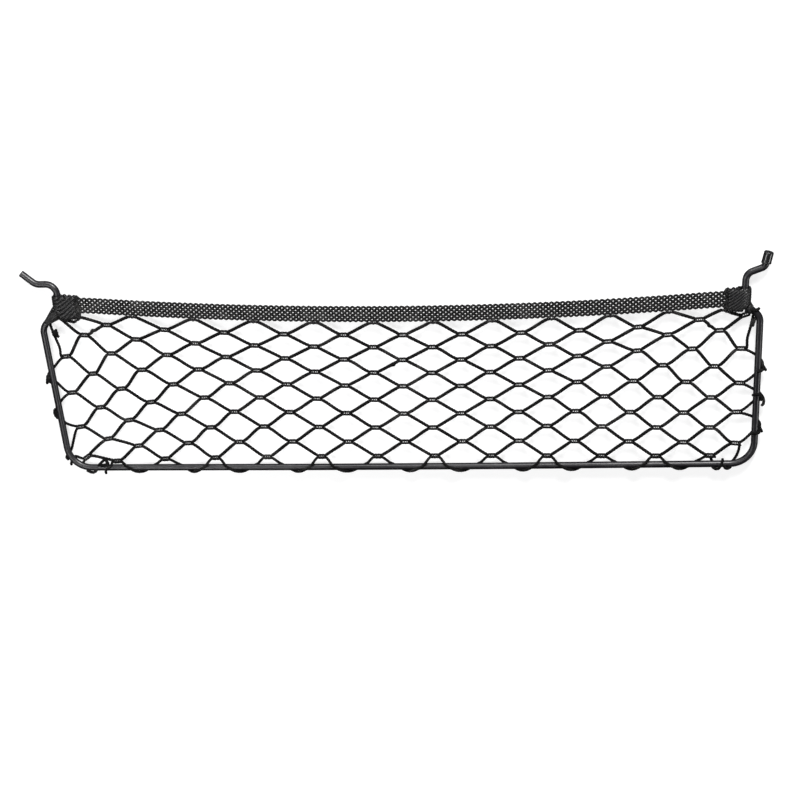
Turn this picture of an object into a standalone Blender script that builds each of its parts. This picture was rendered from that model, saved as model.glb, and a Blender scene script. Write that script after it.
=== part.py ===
"""Cargo net with a bent-rod frame, lying on its back.

One coated rod is bent into a low, wide U whose two ends step inwards, rise as
short necks and turn out as plug-in pins; the right pin wears a sleeve. A flat
braided band is looped round the two necks and sags between them. A knotless
diamond net hangs under the band, is laced round the rod at both sides and
along the bottom, and its last cord ends are tied at the corners.

The tables are in millimetres: X across, Y up the net from the bottom rod's
axis, Z off the surface. place() moves that into the part's own frame, whose
origin is the middle of the part's outline, on the surface.
"""

import math

import bmesh
import bpy
import numpy as np

MM = 0.001

# Driving sizes.
ROD_RADIUS = 3.05
CORD = 2.2
BAND_THICK = 2.2
BAND_WIDTH = 14.6
FIT = 0.3

# A cord goes round the rod in steps of WRAP_STEP, level where it passes in front and behind.
WRAP_STEP = math.radians(30)
WRAP_RADIUS = (ROD_RADIUS + FIT + CORD / 2) / math.cos(WRAP_STEP / 2) + 0.05
ROD_Z = WRAP_RADIUS * math.cos(WRAP_STEP / 2) + CORD / 2

# The outline's middle, from the middle of the bottom rod.
MIDDLE_X = -3.26
MIDDLE_Y = 94.45

# The rod's corners from the left pin to the right one: place, across, up, bend radius.
ROD_CORNERS = (
    ("left pin end", -336.6, 191.5, 0),
    ("left pin root", -324.0, 180.5, 10),
    ("left neck top", -306.3, 180.5, 10),
    ("left neck foot", -305.4, 159.8, 8),
    ("left shoulder", -322.9, 140.8, 12),
    ("left corner", -314.5, 0, 22),
    ("middle of the bottom", 0, -1.3, 20000),
    ("right corner", 314.3, 0, 22),
    ("right shoulder", 320.4, 138.9, 10),
    ("right neck foot", 307.1, 149.3, 6),
    ("right neck top", 308.6, 177.4, 9),
    ("right pin root", 324.6, 183.2, 6),
    ("right pin end", 327.7, 195.2, 0),
)
FOOT_UP = {-1: ROD_CORNERS[3][2], 1: ROD_CORNERS[9][2]}
NECK_UP = {-1: ROD_CORNERS[2][2], 1: ROD_CORNERS[10][2]}
PIN_BEND = 4
BEND_STEP = math.radians(14)
ROD_BEVEL_STEPS = 4

SLEEVE_RADIUS = 4.25
SLEEVE_LENGTH = 10.5
SLEEVE_CLOSED = 1.2
SLEEVE_CHAMFER = 0.4
SLEEVE_SIDES = 20

# The band's middle line is a parabola that leans up to the left; its doubled, sewn ends are wider.
BAND_UP = 146.4
BAND_RISE = 9.7
BAND_RISE_REACH = 268
BAND_LEAN = -0.0099
BAND_STEPS = 24
SEAM_X = 281
SEAM_LENGTH = 3.5
END_UP = 8.7
END_DOWN = 9.5

# Past TURN_X the band's lower edge rises, to go round the straight neck FOOT_CLEAR above its bend.
TURN_X = 297
TURN_LENGTH = 5
FOOT_CLEAR = 1.7
LOOP_THICK = 2.1

# The net: odd rows have 13 joints, the even rows between them 12. Row 0 hangs from the band.
LAST_ROW = 10
WIDE = 13
JOINT_HALF = 4.4
JOINT_PITCH = 52
ROW_PITCH = 13.4
LOWEST_JOINT = 6.4
BAR_PLACES = (0.2, 0.8)
BAR_EASE = 0.5

# A cord between a joint and the rod: where it may be bent, the least step between bends, and its ease there.
LEAD_PLACES = (0.15, 0.5, 0.85)
LEAD_STEP = 2
LEAD_EASE = 8

# Row 0 along the band's lower edge: first and last inner joints, how much the left ones spread, end joints.
EDGE_LEFT, EDGE_RIGHT, EDGE_SPREAD = -237.8, 242.7, 0.055
EDGE_END_LEFT, EDGE_END_RIGHT = -286.6, 291.6

# A bar between two joints, and those by the band's ends, which are gathered: row, column, row, column, length.
BAR = 18.5
GATHERED_BARS = (
    (0, 0, 1, 1, 8),
    (0, 1, 1, 1, 8),
    (1, 0, 2, 0, 10),
    (1, 1, 2, 0, 8),
    (1, 1, 2, 1, 16),
    (2, 0, 3, 1, 16),
    (0, 11, 1, 11, 12),
    (1, 11, 2, 11, 12),
    (1, 12, 2, 11, 15),
)

# Joints held fast by the band's ends and the lower left corner: row, column, across, up.
FAST_JOINTS = (
    (1, 0, -303.8, 145.0),
    (1, 12, 304.0, 139.6),
    (9, 0, -299.1, 11.0),
    (10, 0, -269.6, 6.6),
)

# Side lacing, from one odd row's last joint round the rod to the next one's: side, row, height and free
# length where the cord meets the rod, then where it leaves it, first pass in front (1) or behind, tail.
SIDE_LACES = (
    (-1, 3, 98.8, 10, 83.6, 9, -1, 4),
    (-1, 5, 65.2, 9, 44.0, 8, 1, -4),
    (-1, 7, 19.0, 23, 12.0, 8, -1, 3),
    (1, 3, 101.1, 9, 83.8, 9, -1, 6),
    (1, 5, 68.8, 10, 58.5, 12, 1, 6),
    (1, 7, 42.8, 11, 29.2, 11, -1, -5),
)

# Bottom lacing: a leg from each joint of the last row crosses the rod's edge LEG_REACH to its side.
LEG_REACH = 8.5
LEG_UP = 2.5
LEG_LENGTH = 5.3

# Cord ends tied round the rod: node, row, column, upper (1) or lower cord, where it meets the rod, free
# length, first pass, way along the rod, tail, bare end, how far along its lead a knot sits (0 for none).
TIES = (
    ("tie_top_left", 3, 0, 1, -322.0, 141.0, 29, 1, -1, 0, 3, 0.65),
    ("tie_top_right", 3, 12, 1, 318.6, 137.5, 27, 1, 1, 4, 4, 0),
    ("tie_bottom_left_outer", 9, 0, -1, -307.0, 4.6, 8, 1, 1, 4, 1, 0),
    ("tie_bottom_left_inner", 10, 0, -1, -283.0, 0, 5, 1, -1, 5, 1, 0),
    ("tie_bottom_right_inner", 10, 11, -1, 281.0, 0, 5, -1, 1, 0, 6, 0),
    ("tie_bottom_right_outer", 9, 12, -1, 302.0, 1.5, 17, 1, -1, 0, 3, 0),
)
TIE_PITCH = 3.2

# A knot: its length between growths, and its rings as steps of that length and growth of the cord.
KNOT_LENGTH = 3
KNOT_STEPS = ((-0.8, 1), (-0.4, 1.6), (0.4, 1.6), (0.8, 1))

# A tail: its knot's growth and stand-off, then share of its length, distance out and thickness.
TAIL_KNOT = 1.15
TAIL_OUT = 0.9
TAIL_STEPS = ((0.45, 1.9, 0.85), (1, 2.2, 0.7))
TAIL_THIN = 0.8

SHARP_ANGLE = math.radians(35)

# Springs that lay the net out: steps, gain and damping; a slack cord's push, and every cord's slight pull.
SPRING_STEPS = 1500
SPRING_GAIN = 0.1
SPRING_KEEP = 0.9
SLACK_PUSH = 0.3
STEADY_PULL = 0.03


def unit(v):
    return v / np.linalg.norm(v)


def place(points):
    """Table millimetres to the part's frame in metres."""
    return (np.asarray(points, float) - (MIDDLE_X, MIDDLE_Y, 0)) * MM


# ---------------------------------------------------------------- the rod's line


def bent_path(corners, step):
    """Straight runs joined by arcs: an arc starts radius x tan(half its turn) before the corner."""
    spots = [np.array(row[1:3], float) for row in corners]
    path = [spots[0]]
    for before, spot, after, row in zip(spots, spots[1:], spots[2:], corners[1:]):
        back, ahead, radius = unit(before - spot), unit(after - spot), row[3]
        turn = math.pi - math.acos(back @ ahead)
        start = spot + back * radius * math.tan(turn / 2)
        centre = spot + unit(back + ahead) * radius / math.cos(turn / 2)
        way = math.copysign(turn, back[1] * ahead[0] - back[0] * ahead[1])
        count = max(1, math.ceil(turn / step))
        for k in range(count + 1):
            c, s = math.cos(way * k / count), math.sin(way * k / count)
            path.append(centre + np.array(((c, -s), (s, c))) @ (start - centre))
    path.append(spots[-1])
    return np.array(path)


ROD_PATH = bent_path(ROD_CORNERS, BEND_STEP)
ROD_RUN = np.insert(np.cumsum(np.linalg.norm(np.diff(ROD_PATH, axis=0), axis=1)), 0, 0)


def rod_across(side, up):
    """Where the rod's axis is at one height below the pins, on the left (-1) or right (1) side."""
    stretch = ROD_PATH[(ROD_PATH[:, 0] * side > SEAM_X) & (ROD_PATH[:, 1] < NECK_UP[side] - PIN_BEND)]
    stretch = stretch[np.argsort(stretch[:, 1])]
    return np.interp(up, stretch[:, 1], stretch[:, 0])


def rod_run(spot):
    """How far along the rod's axis its point nearest a spot is."""
    along = ROD_PATH[1:] - ROD_PATH[:-1]
    share = np.clip(((spot - ROD_PATH[:-1]) * along).sum(1) / (along**2).sum(1), 0, 1)
    feet = ROD_PATH[:-1] + share[:, None] * along
    k = np.argmin(((feet - spot) ** 2).sum(1))
    return ROD_RUN[k] + share[k] * (ROD_RUN[k + 1] - ROD_RUN[k])


def rod_at(run):
    """The axis point at one distance along the rod, the direction there and the way out of the frame."""
    before, foot, after = (
        np.array([np.interp(run + step, ROD_RUN, ROD_PATH[:, axis]) for axis in (0, 1)]) for step in (-1, 0, 1)
    )
    way = unit(after - before)
    return foot, way, np.array((way[1], -way[0]))


# ---------------------------------------------------------------- the band's line


def band_middle(x):
    return BAND_UP + BAND_RISE * (x / BAND_RISE_REACH) ** 2 + BAND_LEAN * x


def band_sewn(x):
    """0 along the single band, 1 where it is doubled and sewn."""
    return np.clip((abs(x) - SEAM_X + SEAM_LENGTH) / SEAM_LENGTH, 0, 1)


def band_top(x):
    return band_middle(x) + BAND_WIDTH / 2 + band_sewn(x) * (END_UP - BAND_WIDTH / 2)


def band_bottom(x):
    """The lower edge steps out at the seam, then rises to the neck's foot where the loop turns."""
    edge = band_middle(x) - BAND_WIDTH / 2 - band_sewn(x) * (END_DOWN - BAND_WIDTH / 2)
    turned = np.clip((abs(x) - TURN_X) / TURN_LENGTH, 0, 1)
    return edge + turned * (FOOT_UP[-1 if x < 0 else 1] + FOOT_CLEAR - edge)


# ---------------------------------------------------------------- the net's layout


def joint_grid():
    """An even grid of joint centres, row 0 along the band; returns the places and which joints are fast."""
    places, fast = {}, {}
    for row in range(LAST_ROW + 1):
        count = WIDE if row % 2 else WIDE - 1
        for column in range(count):
            x = (column - (count - 1) / 2) * JOINT_PITCH
            places[row, column] = x, band_bottom(0) - row * ROW_PITCH
    for column in range(WIDE - 1):
        u = (column - 1) / (WIDE - 4)
        x = EDGE_LEFT + (EDGE_RIGHT - EDGE_LEFT) * (u + EDGE_SPREAD * u * (1 - u))
        x = {0: EDGE_END_LEFT, WIDE - 2: EDGE_END_RIGHT}.get(column, x)
        fast[0, column] = x, band_bottom(x) - FIT - CORD / 2
    for row, column, across, up in FAST_JOINTS:
        fast[row, column] = across, up
    places.update(fast)
    return places, fast


def net_bars():
    """Every bar of the lattice: the joint above, the joint below, which side it leaves to, free length."""
    gathered = {tuple(bar[:4]): bar[4] for bar in GATHERED_BARS}
    for row in range(LAST_ROW):
        for wide in range(WIDE):
            for narrow in (wide - 1, wide):
                if not 0 <= narrow < WIDE - 1:
                    continue
                if row % 2:
                    upper, lower, side = (row, wide), (row + 1, narrow), 1 if narrow == wide else -1
                else:
                    upper, lower, side = (row, narrow), (row + 1, wide), -1 if narrow == wide else 1
                yield upper, lower, side, gathered.get(upper + lower, BAR)


def rod_cords():
    """Every cord from a joint to the rod: the joint, side, upper (1) or lower cord, spot, free length."""
    for side, row, meet, meet_length, leave, leave_length, _, _ in SIDE_LACES:
        column = 0 if side < 0 else WIDE - 1
        reach = ROD_RADIUS * side
        yield (row, column), side, -1, (rod_across(side, meet) - reach, meet), meet_length
        yield (row + 2, column), side, 1, (rod_across(side, leave) - reach, leave), leave_length
    for _, row, column, level, across, up, length, *_ in TIES:
        if row < LAST_ROW:
            side = 1 if across > 0 else -1
            yield (row, column), side, level, (across - ROD_RADIUS * side, up), length


def pull(span, length):
    """A cord's pull along its span: taut past its free length, a weak push when slack, and a slight pull."""
    reach = np.maximum(np.linalg.norm(span, axis=1, keepdims=True), 1e-6)
    excess = reach - length[:, None]
    return span / reach * (np.where(excess > 0, excess, SLACK_PUSH * excess) + STEADY_PULL * reach)


def net_joints():
    """Joint centres where the cords' pulls balance, by row and column."""
    places, fast = joint_grid()
    keys = list(places)
    number = {key: k for k, key in enumerate(keys)}
    at = np.array([places[key] for key in keys], float)
    free = np.array([key not in fast for key in keys])[:, None]

    bars = [(number[upper], number[lower], side, length) for upper, lower, side, length in net_bars()]
    upper, lower, side, bar_length = np.array(bars).T
    upper, lower = upper.astype(int), lower.astype(int)
    leave = np.stack((side * JOINT_HALF, np.full(len(side), -CORD / 2)), 1)

    cords = list(rod_cords())
    held = np.array([number[cord[0]] for cord in cords])
    offset = np.array([(cord[1] * JOINT_HALF, cord[2] * CORD / 2) for cord in cords])
    spot = np.array([cord[3] for cord in cords])
    cord_length = np.array([cord[4] for cord in cords], float)
    last = np.array([k for k, key in enumerate(keys) if key[0] == LAST_ROW])

    speed = np.zeros_like(at)
    for _ in range(SPRING_STEPS):
        force = np.zeros_like(at)
        bar_pull = pull(at[lower] - at[upper] - 2 * leave, bar_length)
        np.add.at(force, upper, bar_pull)
        np.add.at(force, lower, -bar_pull)
        np.add.at(force, held, pull(spot - at[held] - offset, cord_length))
        for way in (-1, 1):
            drop = LEG_UP - at[last, 1] + CORD / 2
            span = np.stack((np.full(len(last), way * (LEG_REACH - JOINT_HALF)), drop), 1)
            force[last] += pull(span, np.full(len(last), LEG_LENGTH))
        speed = SPRING_KEEP * speed + SPRING_GAIN * force * free
        at = at + speed
        at[:, 1] = np.maximum(at[:, 1], LOWEST_JOINT)
    return {key: at[k] for key, k in number.items()}


def joint_directions(joints):
    """The way each joint lies, from the middle of its left neighbours to the middle of its right ones."""
    sides = {key: {-1: [], 1: []} for key in joints}
    for upper, lower, side, _ in net_bars():
        sides[upper][side].append(joints[lower])
        sides[lower][-side].append(joints[upper])
    ways = {}
    for key, near in sides.items():
        if key[0] == 0:
            left, right = (joints[key][0] + step * JOINT_HALF for step in (-1, 1))
            ways[key] = unit(np.array((right - left, band_bottom(right) - band_bottom(left))))
        else:
            left, right = (np.mean(near[side] or [joints[key]], axis=0) for side in (-1, 1))
            ways[key] = unit(right - left)
    return ways


# ---------------------------------------------------------------- closed bodies


class Solid:
    """One closed body, gathered as points and faces in table millimetres."""

    def __init__(self, name):
        self.name = name
        self.points = []
        self.faces = []

    def add(self, points):
        first = len(self.points)
        self.points.extend(tuple(point) for point in points)
        return list(range(first, len(self.points)))

    def spot(self, index):
        return np.array(self.points[index])

    def cap(self, ring):
        self.faces.append(tuple(ring))

    def tube(self, a, b, open_side=None):
        """Faces between two rings whose points match, leaving out one side where a neighbour joins on."""
        for k in range(len(a)):
            if k != open_side:
                after = (k + 1) % len(a)
                self.faces.append((a[k], a[after], b[after], b[k]))

    def square(self, centre, normal, side_way, half=CORD / 2):
        corners = ((1, 1), (1, -1), (-1, -1), (-1, 1))
        return self.add([centre + half * (u * normal + v * side_way) for u, v in corners])

    def weld(self, a, b, open_side=None):
        """Joins ring a to ring b in the order of b's points that keeps the two nearest, and returns that."""
        orders = [[b[(start + way * k) % 4] for k in range(4)] for start in range(4) for way in (1, -1)]
        gaps = [sum(np.linalg.norm(self.spot(p) - self.spot(q)) for p, q in zip(a, ring)) for ring in orders]
        best = orders[np.argmin(gaps)]
        self.tube(a, best, open_side)
        return best

    def build(self, material):
        mesh = bpy.data.meshes.new(self.name)
        mesh.from_pydata(place(self.points).tolist(), [], self.faces)
        shell = bmesh.new()
        shell.from_mesh(mesh)
        bmesh.ops.recalc_face_normals(shell, faces=shell.faces)
        shell.to_mesh(mesh)
        shell.free()
        mesh.shade_smooth()
        mesh.set_sharp_from_angle(angle=SHARP_ANGLE)
        mesh.materials.append(material)
        bpy.context.scene.collection.objects.link(bpy.data.objects.new(self.name, mesh))


# ---------------------------------------------------------------- cords

UPRIGHT = np.array((0.0, 0.0, 1.0))
LEVEL_ANGLES = [(k - 0.5) * WRAP_STEP for k in range(8)]
EDGE_ANGLE = math.asin(ROD_RADIUS / WRAP_RADIUS)


def flat(spot, up=ROD_Z):
    return np.append(spot, up)


def bend(start, way, target, onward, ease, shares):
    """Centres, headings and normals of a cord that leaves start along way and reaches target heading onward."""
    span = target - start
    ease = min(BAR_EASE * np.linalg.norm(span), ease)
    out, into = unit(way) * ease, unit(onward) * ease
    for t in shares:
        centre = start + span * (3 * t**2 - 2 * t**3) + out * (t**3 - 2 * t**2 + t) + into * (t**3 - t**2)
        heading = unit(span * (6 * t - 6 * t**2) + out * (3 * t**2 - 4 * t + 1) + into * (3 * t**2 - 2 * t))
        yield centre, heading, unit(UPRIGHT - (UPRIGHT @ heading) * heading)


def lay(solid, ring, centre, heading, normal, half=CORD / 2):
    """Takes a cord on to a square ring across its heading, and returns that ring."""
    return solid.weld(ring, solid.square(centre, normal, unit(np.cross(heading, normal)), half))


def lead(solid, ring, start, way, target, onward, knot=0):
    """A cord's stretch between a joint and the rod, with a knot part of the way along it where there is one."""
    reach = np.linalg.norm(target - start)
    shares = [(share, 1) for share in LEAD_PLACES if reach * share > LEAD_STEP and reach * (1 - share) > LEAD_STEP]
    if knot:
        off = KNOT_LENGTH / reach
        shares = [pair for pair in shares if abs(pair[0] - knot) > 1.5 * off]
        shares += [(knot + off * step, growth) for step, growth in KNOT_STEPS]
    shares.sort()
    places = bend(start, way, target, onward, LEAD_EASE, [share for share, _ in shares])
    for (centre, heading, normal), (_, growth) in zip(places, shares):
        ring = lay(solid, ring, centre, heading, normal, growth * CORD / 2)
    return ring


def approach(spot, run):
    """Angles at which a cord from a spot beside the rod comes onto it, before the first level one."""
    foot, _, outward = rod_at(run)
    inward = (foot - spot[:2]) @ outward
    tangent = math.asin(min(1, WRAP_RADIUS / max(inward, WRAP_RADIUS)))
    steps = math.ceil((tangent - WRAP_STEP) / WRAP_STEP)
    return [-tangent + k * (tangent - WRAP_STEP / 2) / steps for k in range(steps)]


def wrap_places(start, run_a, run_b, face, end=None):
    """Places of a cord that goes half round the rod from one distance along it to another.

    At an angle of 0 it is in front of the rod's axis (behind it when face is -1), at 90 degrees outside it
    and at 180 on the far face. It is level for WRAP_STEP at each, so what lies on the surface lies flat.
    """
    angles = approach(start, run_a) + LEVEL_ANGLES
    if end is not None:
        angles += [math.pi - angle for angle in reversed(approach(end, run_b))]
    runs = np.interp(angles, (-EDGE_ANGLE, math.pi + EDGE_ANGLE), (run_a, run_b))
    centres, normals = [start], []
    for angle, run in zip(angles, runs):
        foot, _, outward = rod_at(run)
        level = -WRAP_STEP < angle < math.pi + WRAP_STEP
        lean = round(angle * 4 / math.pi) * math.pi / 4 if level else angle
        up = ROD_Z + face * WRAP_RADIUS * math.cos(angle)
        centres.append(flat(foot + WRAP_RADIUS * math.sin(angle) * outward, up))
        normals.append(flat(math.sin(lean) * outward, face * math.cos(lean)))
    centres.append(centres[-1] + centres[-1] - centres[-2] if end is None else end)
    places = []
    for k, (angle, normal) in enumerate(zip(angles, normals)):
        way = centres[k + 2] - centres[k]
        places.append((angle, runs[k], centres[k + 1], unit(way - (way @ normal) * normal), normal))
    return places


def tail_stub(solid, ring, place, length):
    """A cord's cut end that leaves it outside the rod and turns along the rod."""
    _, run, centre, heading, normal = place
    after = solid.square(centre, normal, unit(np.cross(heading, normal)))
    outside = max(range(4), key=lambda k: (solid.spot(ring[k]) + solid.spot(ring[(k + 1) % 4])) @ normal)
    after = solid.weld(ring, after, outside)
    quad = [ring[outside], ring[(outside + 1) % 4], after[(outside + 1) % 4], after[outside]]
    root = np.mean([solid.spot(k) for k in quad], axis=0)
    way = flat(rod_at(run)[1], 0) * math.copysign(1, length)
    knot = solid.add([root + TAIL_KNOT * (solid.spot(k) - root) + TAIL_OUT * normal for k in quad])
    solid.tube(quad, knot)
    for share, out, thin in TAIL_STEPS:
        knot = lay(solid, knot, root + out * normal + share * abs(length) * way, way, normal, thin * CORD / 2)
    solid.cap(knot)
    return after


def lace(solid, ring, start, way, runs, face, end=None, end_way=None, tail=0, knot=0):
    """Takes a cord from a joint round the rod, on to the next joint's spot where there is one.

    Returns the last ring, its centre, its heading and its normal.
    """
    places = wrap_places(start, *runs, face, end)
    ring = lead(solid, ring, start, way, places[0][2], places[0][3], knot)
    for place in places:
        if tail and abs(place[0] - math.pi / 2 - WRAP_STEP / 2) < WRAP_STEP / 4:
            ring = tail_stub(solid, ring, place, tail)
        else:
            ring = lay(solid, ring, *place[2:])
    if end is not None:
        ring = lead(solid, ring, places[-1][2], places[-1][3], end, -end_way)
    return (ring, *places[-1][2:])


# ---------------------------------------------------------------- the net


class Lattice:
    """Where every joint of the net is, and where its cords leave it."""

    def __init__(self):
        self.joints = net_joints()
        self.ways = joint_directions(self.joints)

    def way(self, key, side):
        return flat(self.ways[key] * side, 0)

    def exit(self, key, side, level):
        """Centre of the upper (1) or lower (-1) cord at a joint's left (-1) or right (1) end."""
        way = self.ways[key]
        above = np.array((-way[1], way[0])) * (CORD / 2 * level if key[0] else 0)
        return flat(self.joints[key] + way * side * JOINT_HALF + above)


def net_ends(solid, lattice, key):
    """A joint: two cords fused side by side; one crest in row 0. Returns its rings by side and level."""
    levels = (CORD, 0, -CORD) if key[0] else (CORD / 2, -CORD / 2)
    way = lattice.ways[key]
    above = np.array((-way[1], way[0]))
    rings = {}
    for side in (-1, 1):
        spots = [lattice.joints[key] + way * side * JOINT_HALF + above * level for level in levels]
        points = [flat(spot, ROD_Z + face * CORD / 2) for spot in spots for face in (1, -1)]
        k = solid.add(points)
        rings[side, -1] = [k[-4], k[-2], k[-1], k[-3]]
        if key[0]:
            rings[side, 1] = [k[0], k[2], k[3], k[1]]
    solid.tube(rings[-1, -1], rings[1, -1], 3 if key[0] else None)
    if key[0]:
        solid.tube(rings[-1, 1], rings[1, 1], 1)
    return rings


def net(lattice):
    """Eleven zig-zag cords fused at their joints, laced round the rod at the sides and the bottom."""
    solid = Solid("net")
    rings = {}
    for key in lattice.joints:
        for end, ring in net_ends(solid, lattice, key).items():
            rings[key, *end] = ring
    loose = set(rings)

    def take(*end):
        loose.discard(end)
        return rings[end]

    for upper, lower, side, _ in net_bars():
        ring = take(upper, side, -1)
        start, target = lattice.exit(upper, side, -1), lattice.exit(lower, -side, 1)
        way, onward = lattice.way(upper, side), lattice.way(lower, side)
        for place in bend(start, way, target, onward, BAR, BAR_PLACES):
            ring = lay(solid, ring, *place)
        solid.weld(ring, take(lower, -side, 1))

    laces = []
    for side, row, meet, _, leave, _, face, tail in SIDE_LACES:
        column = 0 if side < 0 else WIDE - 1
        runs = [rod_run((rod_across(side, up), up)) for up in (meet, leave)]
        laces.append((((row, column), side, -1), ((row + 2, column), side, 1), runs, face, tail))
    for column in range(WIDE - 2):
        a, b = (LAST_ROW, column), (LAST_ROW, column + 1)
        runs = [rod_run((lattice.joints[key][0] + way * LEG_REACH, 0)) for key, way in ((a, 1), (b, -1))]
        laces.append(((a, 1, -1), (b, -1, -1), runs, -1 if column % 2 else 1, 0))
    for a, b, runs, face, tail in laces:
        ways = lattice.way(*a[:2]), lattice.way(*b[:2])
        end = lace(solid, take(*a), lattice.exit(*a), ways[0], runs, face, lattice.exit(*b), ways[1], tail)
        solid.weld(end[0], take(*b))

    for end in sorted(loose):
        solid.cap(rings[end])
    return solid


def tie(lattice, row):
    """A cord's last end, from FIT off the joint it leaves to its bare end past the rod."""
    name, line, column, level, across, up, _, face, way, tail, bare, knot = row
    key, side = (line, column), 1 if across > 0 else -1
    solid = Solid(name)
    out = lattice.way(key, side)
    above = np.cross(UPRIGHT, lattice.way(key, 1))
    start = lattice.exit(key, side, level) + FIT * (out + level * above)
    first = solid.square(start, above, UPRIGHT)
    run = rod_run((across, up))
    ring, centre, heading, normal = lace(
        solid, first, start, out, (run, run + way * TIE_PITCH), face, tail=tail, knot=knot
    )
    ring = lay(solid, ring, centre + bare * heading, heading, normal, TAIL_THIN * CORD / 2)
    solid.cap(first)
    solid.cap(ring)
    return solid


# ---------------------------------------------------------------- the band


def loop_outline(side, up, radius, half):
    """One face of a loop seen from above, from the seam round the front of the neck to the back and home."""
    neck = rod_across(side, up)
    arc = [(neck + side * radius * math.sin(angle), radius * math.cos(angle)) for angle in LEVEL_ANGLES]
    share = (TURN_X - SEAM_X) / (abs(arc[0][0]) - SEAM_X)
    turn = half + share * (arc[0][1] - half)
    line = [(side * SEAM_X, half), (side * TURN_X, turn), *arc, (side * TURN_X, -turn), (side * SEAM_X, -half)]
    return [(x, ROD_Z + z) for x, z in line]


def band_loop(solid, side):
    """The doubled end: the strip opens at the seam into two layers that meet round the neck."""
    outer_radius = ROD_Z / math.cos(WRAP_STEP / 2)
    inner_radius = (ROD_Z - LOOP_THICK) / math.cos(WRAP_STEP / 2)
    loop_x = side * (TURN_X + TURN_LENGTH)
    shells = {}
    for edge, height in (("top", band_top), ("bottom", band_bottom)):
        for face, radius, half in (("outer", outer_radius, BAND_THICK / 2), ("inner", inner_radius, 0)):
            line = loop_outline(side, height(loop_x), radius, half)
            reach = [side * min(abs(x), abs(loop_x)) for x, _ in line]
            points = solid.add([(x, height(at), z) for (x, z), at in zip(line, reach)])
            if face == "inner":
                points[-1] = points[0]
            shells[edge, face] = points
    for k in range(len(LEVEL_ANGLES) + 3):
        for face in ("outer", "inner"):
            top, bottom = shells["top", face], shells["bottom", face]
            solid.cap((top[k], top[k + 1], bottom[k + 1], bottom[k]))
        for edge in ("top", "bottom"):
            outer, inner = shells[edge, "outer"], shells[edge, "inner"]
            solid.cap(dict.fromkeys((outer[k], outer[k + 1], inner[k + 1], inner[k])))
    return shells


def band():
    """A flat strip between two loops: rings of four corners, top and bottom edge, front and back."""
    solid = Solid("band")
    rings = []
    for x in np.linspace(SEAM_LENGTH - SEAM_X, SEAM_X - SEAM_LENGTH, BAND_STEPS + 1):
        edges = ((band_top(x), 1), (band_bottom(x), 1), (band_bottom(x), -1), (band_top(x), -1))
        rings.append(solid.add([(x, y, ROD_Z + face * BAND_THICK / 2) for y, face in edges]))
    for a, b in zip(rings, rings[1:]):
        solid.tube(a, b)
    for side, ring in ((-1, rings[0]), (1, rings[-1])):
        shells = band_loop(solid, side)
        for line, (front, back) in (("top", (0, 3)), ("bottom", (1, 2))):
            outer, crotch = shells[line, "outer"], shells[line, "inner"][0]
            solid.cap((ring[front], ring[back], outer[-1], crotch, outer[0]))
        for upper, lower, end in ((0, 1, 0), (3, 2, -1)):
            solid.cap((ring[upper], ring[lower], shells["bottom", "outer"][end], shells["top", "outer"][end]))
    return solid


# ---------------------------------------------------------------- rod and sleeve


def frame_rod(material):
    curve = bpy.data.curves.new("frame_rod", "CURVE")
    curve.dimensions = "3D"
    curve.bevel_depth = ROD_RADIUS * MM
    curve.bevel_resolution = ROD_BEVEL_STEPS
    curve.use_fill_caps = True
    spline = curve.splines.new("POLY")
    spline.points.add(len(ROD_PATH) - 1)
    axis = place([flat(spot) for spot in ROD_PATH])
    spline.points.foreach_set("co", np.column_stack((axis, np.ones(len(axis)))).ravel())
    curve.materials.append(material)
    bpy.context.scene.collection.objects.link(bpy.data.objects.new("frame_rod", curve))


def pin_sleeve():
    """A closed cap over the right pin, with a small chamfer at its end, turned about the pin's axis."""
    solid = Solid("pin_sleeve")
    way = flat(unit(ROD_PATH[-1] - ROD_PATH[-2]), 0)
    across = np.cross(way, UPRIGHT)
    shoulder = flat(ROD_PATH[-1]) + way * FIT
    bore = ROD_RADIUS + FIT
    end = SLEEVE_CLOSED
    profile = (
        (0, bore),
        (end - SLEEVE_LENGTH, bore),
        (end - SLEEVE_LENGTH, SLEEVE_RADIUS),
        (end - SLEEVE_CHAMFER, SLEEVE_RADIUS),
        (end, SLEEVE_RADIUS - SLEEVE_CHAMFER),
    )
    rings = []
    for along, radius in profile:
        turns = [2 * math.pi * k / SLEEVE_SIDES for k in range(SLEEVE_SIDES)]
        spots = [shoulder + along * way + radius * (math.cos(a) * across + math.sin(a) * UPRIGHT) for a in turns]
        rings.append(solid.add(spots))
    for a, b in zip(rings, rings[1:]):
        solid.tube(a, b)
    solid.cap(rings[0])
    solid.cap(rings[-1])
    return solid


# ---------------------------------------------------------------- the model


def plain(name, colour, roughness, metallic=0):
    material = bpy.data.materials.new(name)
    material.use_nodes = True
    shader = material.node_tree.nodes["Principled BSDF"]
    shader.inputs["Base Color"].default_value = (*colour, 1)
    shader.inputs["Roughness"].default_value = roughness
    shader.inputs["Metallic"].default_value = metallic
    return material


def main():
    for thing in list(bpy.data.objects):
        bpy.data.objects.remove(thing)
    cord = plain("black_cord", (0.012, 0.012, 0.013), 0.8)
    lattice = Lattice()
    frame_rod(plain("coated_rod", (0.03, 0.029, 0.033), 0.4))
    pin_sleeve().build(plain("sleeve_plastic", (0.01, 0.01, 0.011), 0.2))
    band().build(plain("band_yarn", (0.016, 0.016, 0.017), 0.85))
    net(lattice).build(cord)
    for row in TIES:
        tie(lattice, row).build(cord)


main()
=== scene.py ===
# %% [markdown]
# # A cargo net on a bent rod
#
# The real thing joins three crafts. A wire bender makes the rod, a braiding machine makes the flat band,
# and a netting machine makes the knotless net, which somebody then laces to the rod by hand and ties off at
# the corners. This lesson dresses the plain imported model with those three: every cord is a surface worked
# out with numpy, so the same few formulas serve for the rod, the net, the stitches and the band.

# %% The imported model, which nothing here moves
import math

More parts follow.
